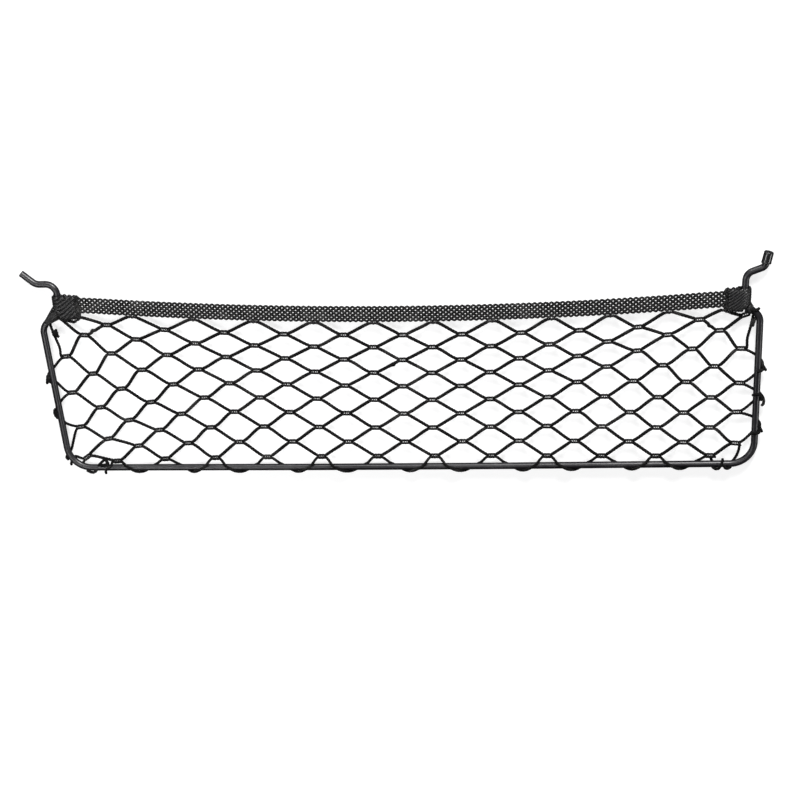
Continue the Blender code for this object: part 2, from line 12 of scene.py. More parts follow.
import bpy
import numpy as np
from mathutils import Matrix


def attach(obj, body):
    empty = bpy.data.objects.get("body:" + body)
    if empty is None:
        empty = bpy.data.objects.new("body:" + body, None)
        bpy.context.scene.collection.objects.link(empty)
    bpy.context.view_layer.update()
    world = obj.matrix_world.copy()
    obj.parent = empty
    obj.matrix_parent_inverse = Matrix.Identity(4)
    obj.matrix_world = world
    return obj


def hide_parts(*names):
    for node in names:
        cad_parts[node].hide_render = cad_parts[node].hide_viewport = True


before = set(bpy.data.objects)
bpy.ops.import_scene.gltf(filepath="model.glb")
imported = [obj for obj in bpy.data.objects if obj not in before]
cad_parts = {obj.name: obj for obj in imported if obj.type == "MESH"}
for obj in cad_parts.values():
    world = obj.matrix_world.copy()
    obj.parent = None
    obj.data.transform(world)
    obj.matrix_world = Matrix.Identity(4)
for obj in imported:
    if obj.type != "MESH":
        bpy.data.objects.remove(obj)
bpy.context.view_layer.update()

# %% [markdown]
# ## The camera
#
# The net lies on its back, and the photographer stood a little above its top edge and to its right. We turn
# those two angles, and a slight roll of the camera, into the camera's three axes by hand, because the
# part's frame and the picture's then agree exactly. A lens of 90 mm from 1.8 m away keeps the far end about
# as large as the near one.

# %% Camera
VIEW_TILT = math.radians(21.5)
VIEW_TURN = math.radians(9.4)
VIEW_ROLL = math.radians(-4.1)
VIEW_DISTANCE = 1.8
VIEW_LENS = 90
VIEW_AIM = np.array((0.00446, -0.03015, 0.0056))


def make_camera():
    """Axes in words: right is +X turned by VIEW_TURN about Y, towards us is +Z tilted up by VIEW_TILT and
    turned with it, and both right and up are then rolled about that sight line."""
    turn = np.array(((math.cos(VIEW_TURN), 0, math.sin(VIEW_TURN)),
                     (0, 1, 0),
                     (-math.sin(VIEW_TURN), 0, math.cos(VIEW_TURN))))
    right = turn @ (1, 0, 0)
    up = turn @ (0, math.cos(VIEW_TILT), -math.sin(VIEW_TILT))
    towards = turn @ (0, math.sin(VIEW_TILT), math.cos(VIEW_TILT))
    rolled_right = math.cos(VIEW_ROLL) * right + math.sin(VIEW_ROLL) * up
    rolled_up = math.cos(VIEW_ROLL) * up - math.sin(VIEW_ROLL) * right
    pose = np.eye(4)
    pose[:3, :3] = np.stack((rolled_right, rolled_up, towards), axis=1)
    pose[:3, 3] = VIEW_AIM + VIEW_DISTANCE * towards
    lens = bpy.data.cameras.new("camera")
    lens.lens = VIEW_LENS
    lens.clip_end = 20
    camera = bpy.data.objects.new("camera", lens)
    camera.matrix_world = Matrix(pose.tolist())
    bpy.context.scene.collection.objects.link(camera)
    bpy.context.scene.camera = camera
    return towards


towards_camera = make_camera()
print("camera looks from", towards_camera.round(3))

# %% [markdown]
# ## A profile carried along a path
#
# Cord, rod, stitch and strand are all the same surface: a ring of points carried along a line. We write it
# once. Every ring needs a "face" direction, so that a flat strand stays flat and a pattern does not twist.
# Ours comes with the path, because we know it: up where a cord lies on the table, away from the rod where
# it goes round the rod.

# %% Millimetres of the drawing to the part's own metres
MM = 0.001
DRAWING_MIDDLE = np.array((-3.26, 94.45, 0.0))


def place(points):
    return (np.asarray(points, float) - DRAWING_MIDDLE) * MM


def unit(v):
    return v / np.linalg.norm(v, axis=-1, keepdims=True)


# %% Rings along paths
def carry(paths, faces, sides, out, wide, ring=False):
    """Points of shape (paths, stations, sides, 3). At angle a, a point is the centre, plus out times cos a
    along the face direction, plus wide times sin a along heading x face. The heading is the slope between
    the neighbours."""
    step = np.roll(paths, -1, 1) - np.roll(paths, 1, 1) if ring else np.gradient(paths, axis=1)
    heading = unit(step)
    face = unit(faces - (faces * heading).sum(-1, keepdims=True) * heading)
    beside = np.cross(heading, face)
    angle = np.arange(sides) * 2 * math.pi / sides
    away = np.broadcast_to(out * np.cos(angle), (*paths.shape[:2], sides))[..., None] * face[:, :, None]
    across = np.broadcast_to(wide * np.sin(angle), (*paths.shape[:2], sides))[..., None] * beside[:, :, None]
    return paths[:, :, None] + away + across


def run_along(paths):
    """Distance along each path, as the running sum of its steps."""
    steps = np.linalg.norm(np.diff(paths, axis=-2), axis=-1)
    return np.concatenate((np.zeros((*steps.shape[:-1], 1)), np.cumsum(steps, axis=-1)), axis=-1)


def even(path, faces, step):
    """The same line with stations step apart: place and face are read off at equal distances along it."""
    run = run_along(path)
    at = np.linspace(0, run[-1], max(2, int(run[-1] / step) + 1))
    return tuple(np.stack([np.interp(at, run, line[:, axis]) for axis in range(3)], -1)
                 for line in (path, faces))


# %% Grids of points to one mesh
def piece(name, grids, material, stands_for=(), sharp=60):
    """Every grid (paths, stations, sides, 3) gives quads between neighbouring rings, and a flat cap at each
    end unless its paths close on themselves. UV: across once round the ring, and up the distance in
    millimetres."""
    points, quads, caps, uvs, first = [], [], [], [], 0
    for grid, ring in grids:
        paths, stations, sides, _ = grid.shape
        here = first + np.arange(paths * stations * sides).reshape(paths, stations, sides)
        first += here.size
        beside = np.roll(here, -1, axis=2)
        if ring:
            a, b = np.arange(stations), np.roll(np.arange(stations), -1)
        else:
            a, b = np.arange(stations - 1), np.arange(1, stations)
            caps += here[:, 0, ::-1].tolist() + here[:, -1].tolist()
        quads.append(np.stack((here[:, a], beside[:, a], beside[:, b], here[:, b]), -1).reshape(-1, 4))
        run = run_along(grid.mean(2))
        after = run[:, b] if not ring else run[:, a] + np.diff(run[:, :2], axis=1)
        u = np.arange(sides) / sides
        shape = (paths, len(a), sides)
        u0, u1 = np.broadcast_to(u, shape), np.broadcast_to(u + 1 / sides, shape)
        v0, v1 = np.broadcast_to(run[:, a, None], shape), np.broadcast_to(after[:, :, None], shape)
        uvs.append(np.stack((u0, v0, u1, v0, u1, v1, u0, v1), -1).reshape(-1, 2))
        points.append(grid.reshape(-1, 3))
    mesh = bpy.data.meshes.new(name)
    mesh.from_pydata(place(np.concatenate(points)), [], np.concatenate(quads).tolist() + caps)
    flat_ends = np.zeros((sum(len(cap) for cap in caps), 2))
    layer = mesh.uv_layers.new(name="along")
    layer.data.foreach_set("uv", np.concatenate(uvs + [flat_ends]).astype(np.float32).ravel())
    mesh.shade_smooth()
    mesh.set_sharp_from_angle(angle=math.radians(sharp))
    mesh.materials.append(material)
    thing = bpy.data.objects.new(name, mesh)
    bpy.context.scene.collection.objects.link(thing)
    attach(thing, "root")
    if stands_for:
        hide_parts(*stands_for)
    mesh.calc_loop_triangles()
    print(f"{name}: {len(mesh.loop_triangles)} triangles")
    return thing


# %% [markdown]
# ## Finishes
#
# Everything here is nearly black, so the finishes differ in gloss and relief more than in colour. The cords
# and the band are matt, fuzzy yarn. The rod has a satin coat with a faint orange peel, and the sleeve is
# glossy plastic. Two effects serve in several of them, so each is a node group: the lay of a yarn, which
# also gives the painted shade in its grooves, and uneven specks of dust.

# %% Small helpers for shader graphs
def add_node(tree, kind, inputs=(), **settings):
    """A node with its settings, and its inputs as values or as sockets to link from."""
    node = tree.nodes.new(kind)
    for name, value in settings.items():
        setattr(node, name, value)
    for key, value in dict(inputs).items():
        if isinstance(value, bpy.types.NodeSocket):
            tree.links.new(value, node.inputs[key])
        else:
            node.inputs[key].default_value = value
    return node


def maths(tree, operation, a, b=0.0):
    return add_node(tree, "ShaderNodeMath", {0: a, 1: b}, operation=operation).outputs[0]


def new_group(name, inputs, outputs):
    """An empty group with number inputs and number outputs; returns its tree and its inner input node."""
    group = bpy.data.node_groups.new(name, "ShaderNodeTree")
    for socket, value in inputs.items():
        made = group.interface.new_socket(socket, in_out="INPUT", socket_type="NodeSocketFloat")
        made.default_value = value
    for socket in outputs:
        group.interface.new_socket(socket, in_out="OUTPUT", socket_type="NodeSocketFloat")
    return group, group.nodes.new("NodeGroupInput")


# %% The lay of a yarn
def yarn_lay():
    """Height in words: two sets of slanted ribs round the cord, one climbing each way, and the higher of
    the two wins, which is what a braid looks like. Fine fibres run along on top. Groove shade is high
    between the ribs: it is where a darker colour is painted in as shade."""
    group, given = new_group("yarn lay", {"Ribs": 4.0, "Pitch": 2.4, "Fibre": 0.35}, ("Height", "Groove shade"))
    uv = add_node(group, "ShaderNodeUVMap", uv_map="along").outputs[0]
    parts = add_node(group, "ShaderNodeSeparateXYZ", {0: uv})
    around = maths(group, "MULTIPLY", parts.outputs[0], given.outputs["Ribs"])
    along = maths(group, "DIVIDE", parts.outputs[1], given.outputs["Pitch"])
    ribs = []
    for way in ("ADD", "SUBTRACT"):
        turn = maths(group, "MULTIPLY", maths(group, way, around, along), 2 * math.pi)
        ribs.append(maths(group, "SINE", turn))
    braid = maths(group, "MAXIMUM", *ribs)
    stretch = add_node(group, "ShaderNodeCombineXYZ",
                       {0: maths(group, "MULTIPLY", around, 9.0), 1: parts.outputs[1]})
    fibre = add_node(group, "ShaderNodeTexNoise", {"Vector": stretch.outputs[0], "Scale": 1.6, "Detail": 3.0})
    fuzz = maths(group, "MULTIPLY", fibre.outputs[0], given.outputs["Fibre"])
    height = maths(group, "ADD", braid, fuzz)
    # Painted shade: this mask darkens the yarn's colour between the ribs.
    groove_shade = add_node(group, "ShaderNodeMapRange", {"Value": braid, "From Min": 0.7, "From Max": -0.1})
    end = group.nodes.new("NodeGroupOutput")
    group.links.new(height, end.inputs["Height"])
    group.links.new(groove_shade.outputs[0], end.inputs["Groove shade"])
    return group


# %% Uneven specks
def speckle():
    """Mask in words: a coarse noise says where dust gathers, a fine one breaks it up, and their product is
    cut off below a level, so that most of the surface stays clean."""
    group, given = new_group("speckle", {"Fine": 2200.0, "Coarse": 70.0, "Level": 0.3}, ("Mask", "Drift"))
    spot = add_node(group, "ShaderNodeTexCoord").outputs["Object"]
    fine = add_node(group, "ShaderNodeTexNoise",
                    {"Vector": spot, "Scale": given.outputs["Fine"], "Detail": 2.0})
    coarse = add_node(group, "ShaderNodeTexNoise",
                      {"Vector": spot, "Scale": given.outputs["Coarse"], "Detail": 3.0})
    both = maths(group, "MULTIPLY", fine.outputs[0], coarse.outputs[0])
    mask = add_node(group, "ShaderNodeMapRange",
                    {"Value": both, "From Min": given.outputs["Level"], "From Max": 0.45})
    end = group.nodes.new("NodeGroupOutput")
    group.links.new(mask.outputs[0], end.inputs["Mask"])
    group.links.new(coarse.outputs[0], end.inputs["Drift"])
    return group


YARN_LAY = yarn_lay()
SPECKLE = speckle()


# %% A finish with its shader
def new_finish(name, roughness, **sockets):
    material = bpy.data.materials.new(name)
    material.use_nodes = True
    shader = material.node_tree.nodes["Principled BSDF"]
    shader.inputs["Roughness"].default_value = roughness
    for socket, value in sockets.items():
        shader.inputs[socket.replace("_", " ")].default_value = value
    return material, material.node_tree, shader


def blend_colour(tree, factor, a, b):
    mix = add_node(tree, "ShaderNodeMix", {"Factor": factor}, data_type="RGBA")
    for socket, colour in ((mix.inputs[6], a), (mix.inputs[7], b)):
        if isinstance(colour, bpy.types.NodeSocket):
            tree.links.new(colour, socket)
        else:
            socket.default_value = (*colour, 1)
    return mix.outputs[2]


def yarn_finish(name, thread, groove_shade, ribs, pitch, depth, sheen=0.25, roughness=0.82, shine=0.25):
    """Yarn: the thread's colour on the ribs, a darker one between them as painted shade in the grooves, and
    grey specks of lint over both."""
    material, tree, shader = new_finish(name, roughness, Sheen_Weight=sheen, Sheen_Roughness=0.45,
                                        Specular_IOR_Level=shine)
    lay = add_node(tree, "ShaderNodeGroup", node_tree=YARN_LAY)
    lay.inputs["Ribs"].default_value = ribs
    lay.inputs["Pitch"].default_value = pitch
    lint = add_node(tree, "ShaderNodeGroup", node_tree=SPECKLE)
    lint.inputs["Fine"].default_value = 2600
    lint.inputs["Level"].default_value = 0.3
    # Painted shade: the thread's colour turns to the groove colour between the ribs.
    shaded_thread = blend_colour(tree, lay.outputs["Groove shade"], thread, groove_shade)
    linted = blend_colour(tree, maths(tree, "MULTIPLY", lint.outputs["Mask"], 0.5), shaded_thread,
                          (0.09, 0.088, 0.085))
    tree.links.new(linted, shader.inputs["Base Color"])
    bump = add_node(tree, "ShaderNodeBump",
                    {"Height": lay.outputs["Height"], "Strength": 0.9, "Distance": depth})
    tree.links.new(bump.outputs[0], shader.inputs["Normal"])
    return material


# %% The coat, the sleeve and the four yarns
def coat_finish():
    """Baked coat on wire: two close greys drift along the rod, gloss drifts with them, and a fine ripple
    stands for the orange peel that such a coat dries with."""
    material, tree, shader = new_finish("satin_coat", 0.36, Specular_IOR_Level=0.5)
    dust = add_node(tree, "ShaderNodeGroup", node_tree=SPECKLE)
    dust.inputs["Fine"].default_value = 900
    dust.inputs["Coarse"].default_value = 25
    drift = add_node(tree, "ShaderNodeMapRange",
                     {"Value": dust.outputs["Drift"], "From Min": 0.35, "From Max": 0.65})
    grey = blend_colour(tree, drift.outputs[0], (0.0065, 0.0061, 0.0075), (0.01, 0.0095, 0.0115))
    dusty = blend_colour(tree, maths(tree, "MULTIPLY", dust.outputs["Mask"], 0.3), grey, (0.12, 0.118, 0.115))
    tree.links.new(dusty, shader.inputs["Base Color"])
    gloss = add_node(tree, "ShaderNodeMapRange", {"Value": dust.outputs["Drift"],
                                                  "From Min": 0.3, "From Max": 0.7,
                                                  "To Min": 0.3, "To Max": 0.42})
    tree.links.new(gloss.outputs[0], shader.inputs["Roughness"])
    spot = add_node(tree, "ShaderNodeTexCoord").outputs["Object"]
    peel = add_node(tree, "ShaderNodeTexNoise", {"Vector": spot, "Scale": 1100.0, "Detail": 2.0})
    bump = add_node(tree, "ShaderNodeBump", {"Height": peel.outputs[0], "Strength": 0.2, "Distance": 0.00005})
    tree.links.new(bump.outputs[0], shader.inputs["Normal"])
    return material


def sleeve_finish():
    """Glossy plastic with a few duller, rubbed patches."""
    material, tree, shader = new_finish("glossy_sleeve", 0.2)
    dust = add_node(tree, "ShaderNodeGroup", node_tree=SPECKLE)
    dust.inputs["Coarse"].default_value = 160
    black = blend_colour(tree, maths(tree, "MULTIPLY", dust.outputs["Mask"], 0.25), (0.009, 0.009, 0.0095),
                         (0.08, 0.08, 0.08))
    tree.links.new(black, shader.inputs["Base Color"])
    gloss = add_node(tree, "ShaderNodeMapRange", {"Value": dust.outputs["Drift"],
                                                  "From Min": 0.35, "From Max": 0.7,
                                                  "To Min": 0.14, "To Max": 0.32})
    tree.links.new(gloss.outputs[0], shader.inputs["Roughness"])
    return material


# Each yarn's second colour is the painted shade between its ribs.
CORD_YARN = yarn_finish("cord_yarn", (0.003, 0.0029, 0.003), (0.001, 0.001, 0.001),
                        4, 2.2, 0.00022, 0.02, 0.8, 0.1)
BAND_YARN = yarn_finish("braid_yarn", (0.005, 0.0048, 0.0052), (0.001, 0.001, 0.001),
                        3, 1.5, 0.00014, 0.02, 0.5, 0.25)
RIB_YARN = yarn_finish("rib_yarn", (0.01, 0.0096, 0.0103), (0.001, 0.001, 0.001),
                       3, 1.5, 0.0001, 0.02, 0.4, 0.5)
STITCH_YARN = yarn_finish("stitch_yarn", (0.024, 0.023, 0.024), (0.007, 0.007, 0.007),
                          2, 0.9, 0.00008, 0.1)
SATIN_COAT = coat_finish()
GLOSSY_SLEEVE = sleeve_finish()
print("finishes:", [material.name for material in bpy.data.materials])

# %% [markdown]
# ## The rod
#
# The frame is one length of coated wire, 6 mm thick, bent in one plane: pin, neck, shoulder, side, bottom
# and back up. A bender draws it as straight runs joined by arcs, so we do the same: each corner has a place
# and a bend radius, and an arc starts where a circle of that radius touches the two runs. The same line
# tells us later where the lacing meets the rod.

# %% The rod's sizes and its line, in millimetres of the drawing
ROD_RADIUS = 3.05
CORD = 2.2
FIT = 0.3
ROD_CORNERS = (
    ("left pin end", -336.6, 191.5, 0),
    ("left pin root", -324.0, 180.5, 10),
    ("left neck top", -305.5, 180.5, 10),
    ("left neck foot", -304.9, 155.6, 8),
    ("left shoulder", -322.9, 139.6, 12),
    ("left corner", -314.5, 0, 22),
    ("middle of the bottom", 0, -1.3, 20000),
    ("right corner", 314.3, 0, 22),
    ("right shoulder", 320.4, 138.9, 10),
    ("right neck foot", 307.1, 149.3, 6),
    ("right neck top", 308.6, 177.4, 9),
    ("right pin root", 324.6, 183.2, 6),
    ("right pin end", 327.7, 195.2, 0),
)
FOOT_UP = {-1: ROD_CORNERS[3][2], 1: ROD_CORNERS[9][2]}
NECK_UP = {-1: ROD_CORNERS[2][2], 1: ROD_CORNERS[10][2]}
PIN_BEND = 4
BEND_STEP = math.radians(3)


def bent_path(corners, step):
    """Straight runs joined by arcs. An arc starts radius x tan(half its turn) before its corner, and its
    points are that start turned about the arc's centre by even shares of the whole turn."""
    spots = np.array([corner[1:3] for corner in corners], float)
    line = [spots[:1]]
    for before, spot, after, corner in zip(spots, spots[1:], spots[2:], corners[1:]):
        back, ahead, radius = unit(before - spot), unit(after - spot), corner[3]
        turn = math.pi - math.acos(back @ ahead)
        start = spot + back * radius * math.tan(turn / 2)
        centre = spot + unit(back + ahead) * radius / math.cos(turn / 2)
        way = math.copysign(turn, back[1] * ahead[0] - back[0] * ahead[1])
        shares = way * np.linspace(0, 1, max(2, math.ceil(turn / step) + 1))
        arm = start - centre
        line.append(centre + np.stack((np.cos(shares) * arm[0] - np.sin(shares) * arm[1],
                                       np.sin(shares) * arm[0] + np.cos(shares) * arm[1]), -1))
    return np.concatenate((*line, spots[-1:]))


ROD_PATH = bent_path(ROD_CORNERS, BEND_STEP)
ROD_RUN = run_along(ROD_PATH)
WRAP_RADIUS = 4.25
ROD_Z = 5.598
EDGE_ANGLE = math.asin(ROD_RADIUS / WRAP_RADIUS)
UP = np.array((0.0, 0.0, 1.0))
print(f"rod: {ROD_RUN[-1]:.0f} mm of wire in {len(ROD_PATH)} stations")


# %% Reading the rod's line
def lift(spots, up=ROD_Z):
    """Flat places (..., 2) raised to one height (..., 3)."""
    return np.concatenate((spots, np.broadcast_to(up, (*spots.shape[:-1], 1))), -1)


def rod_across(side, up):
    """Where the rod is at one height below the pins, on the left (-1) or right (1) side."""
    stretch = ROD_PATH[(ROD_PATH[:, 0] * side > 281) & (ROD_PATH[:, 1] < NECK_UP[side] - PIN_BEND)]
    stretch = stretch[np.argsort(stretch[:, 1])]
    return np.interp(up, stretch[:, 1], stretch[:, 0])


def rod_run(spot):
    """How far along the rod its point nearest a spot is: the best foot of a square dropped on each short
    run."""
    along = ROD_PATH[1:] - ROD_PATH[:-1]
    share = np.clip(((spot - ROD_PATH[:-1]) * along).sum(1) / (along**2).sum(1), 0, 1)
    k = np.argmin(((ROD_PATH[:-1] + share[:, None] * along - spot) ** 2).sum(1))
    return ROD_RUN[k] + share[k] * (ROD_RUN[k + 1] - ROD_RUN[k])


def rod_at(run):
    """Axis point, heading and outward side at distances along the rod; the heading is the slope of a 2 mm
    chord."""
    run = np.asarray(run, float)
    before, foot, after = (np.stack([np.interp(run + step, ROD_RUN, ROD_PATH[:, axis])
                                     for axis in (0, 1)], -1)
                           for step in (-1, 0, 1))
    way = unit(after - before)
    return foot, way, np.stack((way[..., 1], -way[..., 0]), -1)


# %% The rod itself
def bent_rod():
    """A circle carried along the line. Rings close to the cut ends shrink a little, for the broken edge of
    the cut."""
    edge = np.array((0.0, 0.12, 0.3, 0.6))
    ways = unit(ROD_PATH[[1, -2]] - ROD_PATH[[0, -1]])
    start = ROD_PATH[0] + edge[:, None] * ways[0]
    finish = ROD_PATH[-1] + edge[::-1, None] * ways[1]
    path = lift(np.concatenate((start, ROD_PATH[1:-1], finish)))[None]
    radius = np.full(path.shape[1], ROD_RADIUS)
    radius[:4] = radius[-4:][::-1] = ROD_RADIUS - np.array((0.55, 0.22, 0.06, 0.0))
    sides = 36
    return carry(path, np.broadcast_to(UP, path.shape), sides, radius[None, :, None], radius[None, :, None])


piece("bent_rod", [(bent_rod(), False)], SATIN_COAT, ("frame_rod",), sharp=40)

# %% [markdown]
# ## The sleeve on the right pin
#
# A short plastic cap is pushed over one pin. It is a turned shape: a profile of distance along the pin and
# distance from it, spun round the pin's axis. Its mouth has a moulded lip and was trimmed a little askew,
# so the rings near the mouth lean.

# %% Sleeve
SLEEVE_RADIUS = 4.25
SLEEVE_LENGTH = 10.5
SLEEVE_CLOSED = 1.2


def sleeve():
    """Profile spun about the pin: inside wall, lip, outside wall, rounded shoulder and a slightly domed
    end. The lean moves a ring's points along the pin by cos of their angle, fading out away from the
    mouth."""
    end, bore, wall = SLEEVE_CLOSED, ROD_RADIUS + FIT, SLEEVE_RADIUS
    mouth = end - SLEEVE_LENGTH
    shoulder = np.linspace(0, math.pi / 2, 6)
    profile = np.concatenate((
        ((0, 0.05), (0, bore - 0.3), (-0.2, bore), (mouth + 0.3, bore), (mouth, bore + 0.2),
         (mouth, wall - 0.05), (mouth + 0.15, wall + 0.12), (mouth + 0.9, wall + 0.12),
         (mouth + 1.2, wall - 0.02), (mouth + 1.6, wall)),
        np.stack((end - 0.9 + 0.75 * np.sin(shoulder), wall - 0.75 + 0.75 * np.cos(shoulder)), -1),
        ((end - 0.06, wall * 0.5), (end, 0.05)),
    ))
    way = lift(unit(ROD_PATH[-1] - ROD_PATH[-2]), 0)
    across = np.cross(way, UP)
    turn = np.arange(48) * 2 * math.pi / 48
    lean = np.clip((mouth + 5 - profile[:, :1]) / 5, 0, 1) * 0.35 * np.cos(turn)
    spoke = np.cos(turn)[:, None] * across + np.sin(turn)[:, None] * UP
    rim = lift(ROD_PATH[-1]) + way * FIT
    return (rim + (profile[:, :1] + lean)[..., None] * way + profile[:, 1:, None] * spoke)[None]


piece("sleeve", [(sleeve(), False)], GLOSSY_SLEEVE, ("pin_sleeve",), sharp=50)

# %% [markdown]
# ## Laying out the net
#
# A knotless net leaves the machine as an even lattice, and only takes its real shape when it is strung up.
# We could pull it about by hand, but it is easier to let it find its shape as the real one does: each bar
# of the lattice pulls when it is stretched, the lacing pulls at the edges, and the joints move until
# everything balances. Joints in odd rows number 13 and in even rows 12; row 0 hangs from the band.

# %% The band's line, which the net hangs from
BAND_WIDTH = 14.6
BAND_UP = 146.4
BAND_RISE = 9.7
BAND_RISE_REACH = 268
BAND_LEAN = -0.0099

# The doubled, sewn ends are wider. By side: distance from the middle, lower edge, upper edge.
SEWN_ENDS = {
    -1: ((285.4, 152.6, 167.6), (286.4, 148.2, 169.9), (289.0, 147.6, 169.0), (296.0, 146.9, 169.2),
         (300.0, 146.2, 169.5), (304.0, 148.6, 169.8), (309.0, 157.4, 169.8)),
    1: ((289.6, 147.6, 162.2), (290.8, 144.9, 164.6), (296.0, 144.1, 164.0), (300.0, 143.7, 164.4),
        (304.0, 143.9, 165.0), (308.0, 146.6, 165.2), (311.0, 149.0, 164.9)),
}


def band_middle(x):
    return BAND_UP + BAND_RISE * (x / BAND_RISE_REACH) ** 2 + BAND_LEAN * x


def band_edges(x):
    """Lower and upper edge: one width along the front, then the sewn ends read off their table."""
    x = np.asarray(x, float)
    low, high = band_middle(x) - BAND_WIDTH / 2, band_middle(x) + BAND_WIDTH / 2
    for side, table in SEWN_ENDS.items():
        away, lower, upper = np.array(table).T
        sewn = x * side > away[0]
        low = np.where(sewn, np.interp(x * side, away, lower), low)
        high = np.where(sewn, np.interp(x * side, away, upper), high)
    return low, high


def band_bottom(x):
    return band_edges(x)[0]


# %% The net's sizes
LAST_ROW = 10
WIDE = 13
JOINT_HALF = 4.4
JOINT_PITCH = 52
ROW_PITCH = 13.4
LOWEST_JOINT = 6.4
EDGE_LEFT, EDGE_RIGHT, EDGE_SPREAD = -237.8, 242.7, 0.055
EDGE_END_LEFT, EDGE_END_RIGHT = -288.8, 291.6
BAR = 18.5
GATHERED_BARS = {
    ((0, 0), (1, 1)): 8,
    ((0, 1), (1, 1)): 9,
    ((1, 0), (2, 0)): 11,
    ((1, 1), (2, 0)): 13,
    ((1, 1), (2, 1)): 16,
    ((2, 0), (3, 1)): 16,
    ((0, 10), (1, 11)): 16.5,
    ((0, 11), (1, 11)): 10,
    ((1, 11), (2, 11)): 12,
    ((1, 12), (2, 11)): 15,
    ((9, 12), (10, 11)): 16,
    ((9, 11), (10, 11)): 17.5,
}
FAST_JOINTS = {
    (1, 0): (-304.6, 148.0),
    (1, 12): (308.0, 140.2),
    (9, 0): (-297.6, 10.4),
    (10, 0): (-269.0, 5.0),
}
FAST_SLOPES = {(1, 0): -0.9, (1, 12): 0.35, (9, 0): 0.7, (10, 0): 0.05}

# Side lacing: side, row, height and free length where it meets the rod, then height and length where it
# leaves.
SIDE_LACES = (
    (-1, 3, 98.8, 10, 83.6, 9),
    (-1, 5, 65.2, 9, 44.0, 8),
    (-1, 7, 15.5, 24, 8.5, 8),
    (1, 3, 101.1, 9, 83.8, 9),
    (1, 5, 68.8, 10, 58.5, 12),
    (1, 7, 42.8, 11, 29.2, 11),
)
LEG_REACH = 8.5
LEG_UP = 2.5
LEG_LENGTH = 5.3

# The last cord ends that pull on the net: row, column, upper (1) or lower cord, a place on the rod, free
# length.
TIE_PULLS = (
    (3, 0, 1, -318.9, 141.0, 29),
    (3, 12, 1, 315.6, 137.5, 27),
    (9, 0, -1, -303.9, 4.6, 5),
    (9, 12, -1, 298.9, 1.5, 17),
)


# %% The even lattice, its bars and its cords to the rod
def joint_grid():
    """Rows an even pitch apart, each a half pitch off the last; row 0 along the band; a few joints are held
    fast."""
    places = {}
    for row in range(LAST_ROW + 1):
        count = WIDE if row % 2 else WIDE - 1
        for column in range(count):
            places[row, column] = (column - (count - 1) / 2) * JOINT_PITCH, band_bottom(0) - row * ROW_PITCH
    fast = {}
    for column in range(WIDE - 1):
        u = (column - 1) / (WIDE - 4)
        x = EDGE_LEFT + (EDGE_RIGHT - EDGE_LEFT) * (u + EDGE_SPREAD * u * (1 - u))
        x = {0: EDGE_END_LEFT, WIDE - 2: EDGE_END_RIGHT}.get(column, x)
        fast[0, column] = x, float(band_bottom(x)) - FIT - CORD / 2
    fast.update(FAST_JOINTS)
    places.update(fast)
    return places, fast


def net_bars():
    """Every bar: the joint above, the joint below, the side it leaves to and its free length."""
    for row in range(LAST_ROW):
        for wide in range(WIDE):
            for narrow in (wide - 1, wide):
                if 0 <= narrow < WIDE - 1:
                    pair = ((row, wide), (row + 1, narrow)) if row % 2 else ((row, narrow), (row + 1, wide))
                    side = (1 if narrow == wide else -1) * (1 if row % 2 else -1)
                    yield *pair, side, GATHERED_BARS.get(pair, BAR)


def rod_cords():
    """Every cord from a joint to the rod: joint, side, upper (1) or lower cord, where it goes, free
    length."""
    for side, row, meet, meet_length, leave, leave_length in SIDE_LACES:
        column = 0 if side < 0 else WIDE - 1
        inside = ROD_RADIUS * side
        yield (row, column), side, -1, (rod_across(side, meet) - inside, meet), meet_length
        yield (row + 2, column), side, 1, (rod_across(side, leave) - inside, leave), leave_length
    for row, column, level, across, up, length in TIE_PULLS:
        yield (row, column), 1 if across > 0 else -1, level, (across, up), length


# %% Springs find the net's own shape
SPRING_STEPS = 1500
SPRING_GAIN = 0.1
SPRING_KEEP = 0.9
SLACK_PUSH = 0.3
STEADY_PULL = 0.03


def pull(span, length):
    """A cord's pull: its stretch past its free length, a weak push when slack, and a slight pull always."""
    reach = np.maximum(np.linalg.norm(span, axis=1, keepdims=True), 1e-6)
    excess = reach - length[:, None]
    return span / reach * (np.where(excess > 0, excess, SLACK_PUSH * excess) + STEADY_PULL * reach)


def net_joints():
    """Each step adds a share of every joint's summed pulls to its speed, damps the speed and moves the
    joint."""
    places, fast = joint_grid()
    keys = list(places)
    number = {key: k for k, key in enumerate(keys)}
    at = np.array([places[key] for key in keys], float)
    free = np.array([key not in fast for key in keys])[:, None]
    upper, lower, side, bar_length = np.array([(number[a], number[b], s, length)
                                               for a, b, s, length in net_bars()]).T
    upper, lower = upper.astype(int), lower.astype(int)
    leave = np.stack((side * JOINT_HALF, np.full(len(side), -CORD / 2)), 1)
    cords = list(rod_cords())
    held = np.array([number[cord[0]] for cord in cords])
    offset = np.array([(cord[1] * JOINT_HALF, cord[2] * CORD / 2) for cord in cords])
    spot = np.array([cord[3] for cord in cords])
    cord_length = np.array([cord[4] for cord in cords], float)
    last = np.array([k for k, key in enumerate(keys) if key[0] == LAST_ROW])
    speed = np.zeros_like(at)
    for _ in range(SPRING_STEPS):
        force = np.zeros_like(at)
        bar_pull = pull(at[lower] - at[upper] - 2 * leave, bar_length)
        np.add.at(force, upper, bar_pull)
        np.add.at(force, lower, -bar_pull)
        np.add.at(force, held, pull(spot - at[held] - offset, cord_length))
        for way in (-1, 1):
            drop = LEG_UP - at[last, 1] + CORD / 2
            span = np.stack((np.full(len(last), way * (LEG_REACH - JOINT_HALF)), drop), 1)
            force[last] += pull(span, np.full(len(last), LEG_LENGTH))
        speed = SPRING_KEEP * speed + SPRING_GAIN * force * free
        at = at + speed
        at[:, 1] = np.maximum(at[:, 1], LOWEST_JOINT)
    return {key: at[k] for key, k in number.items()}


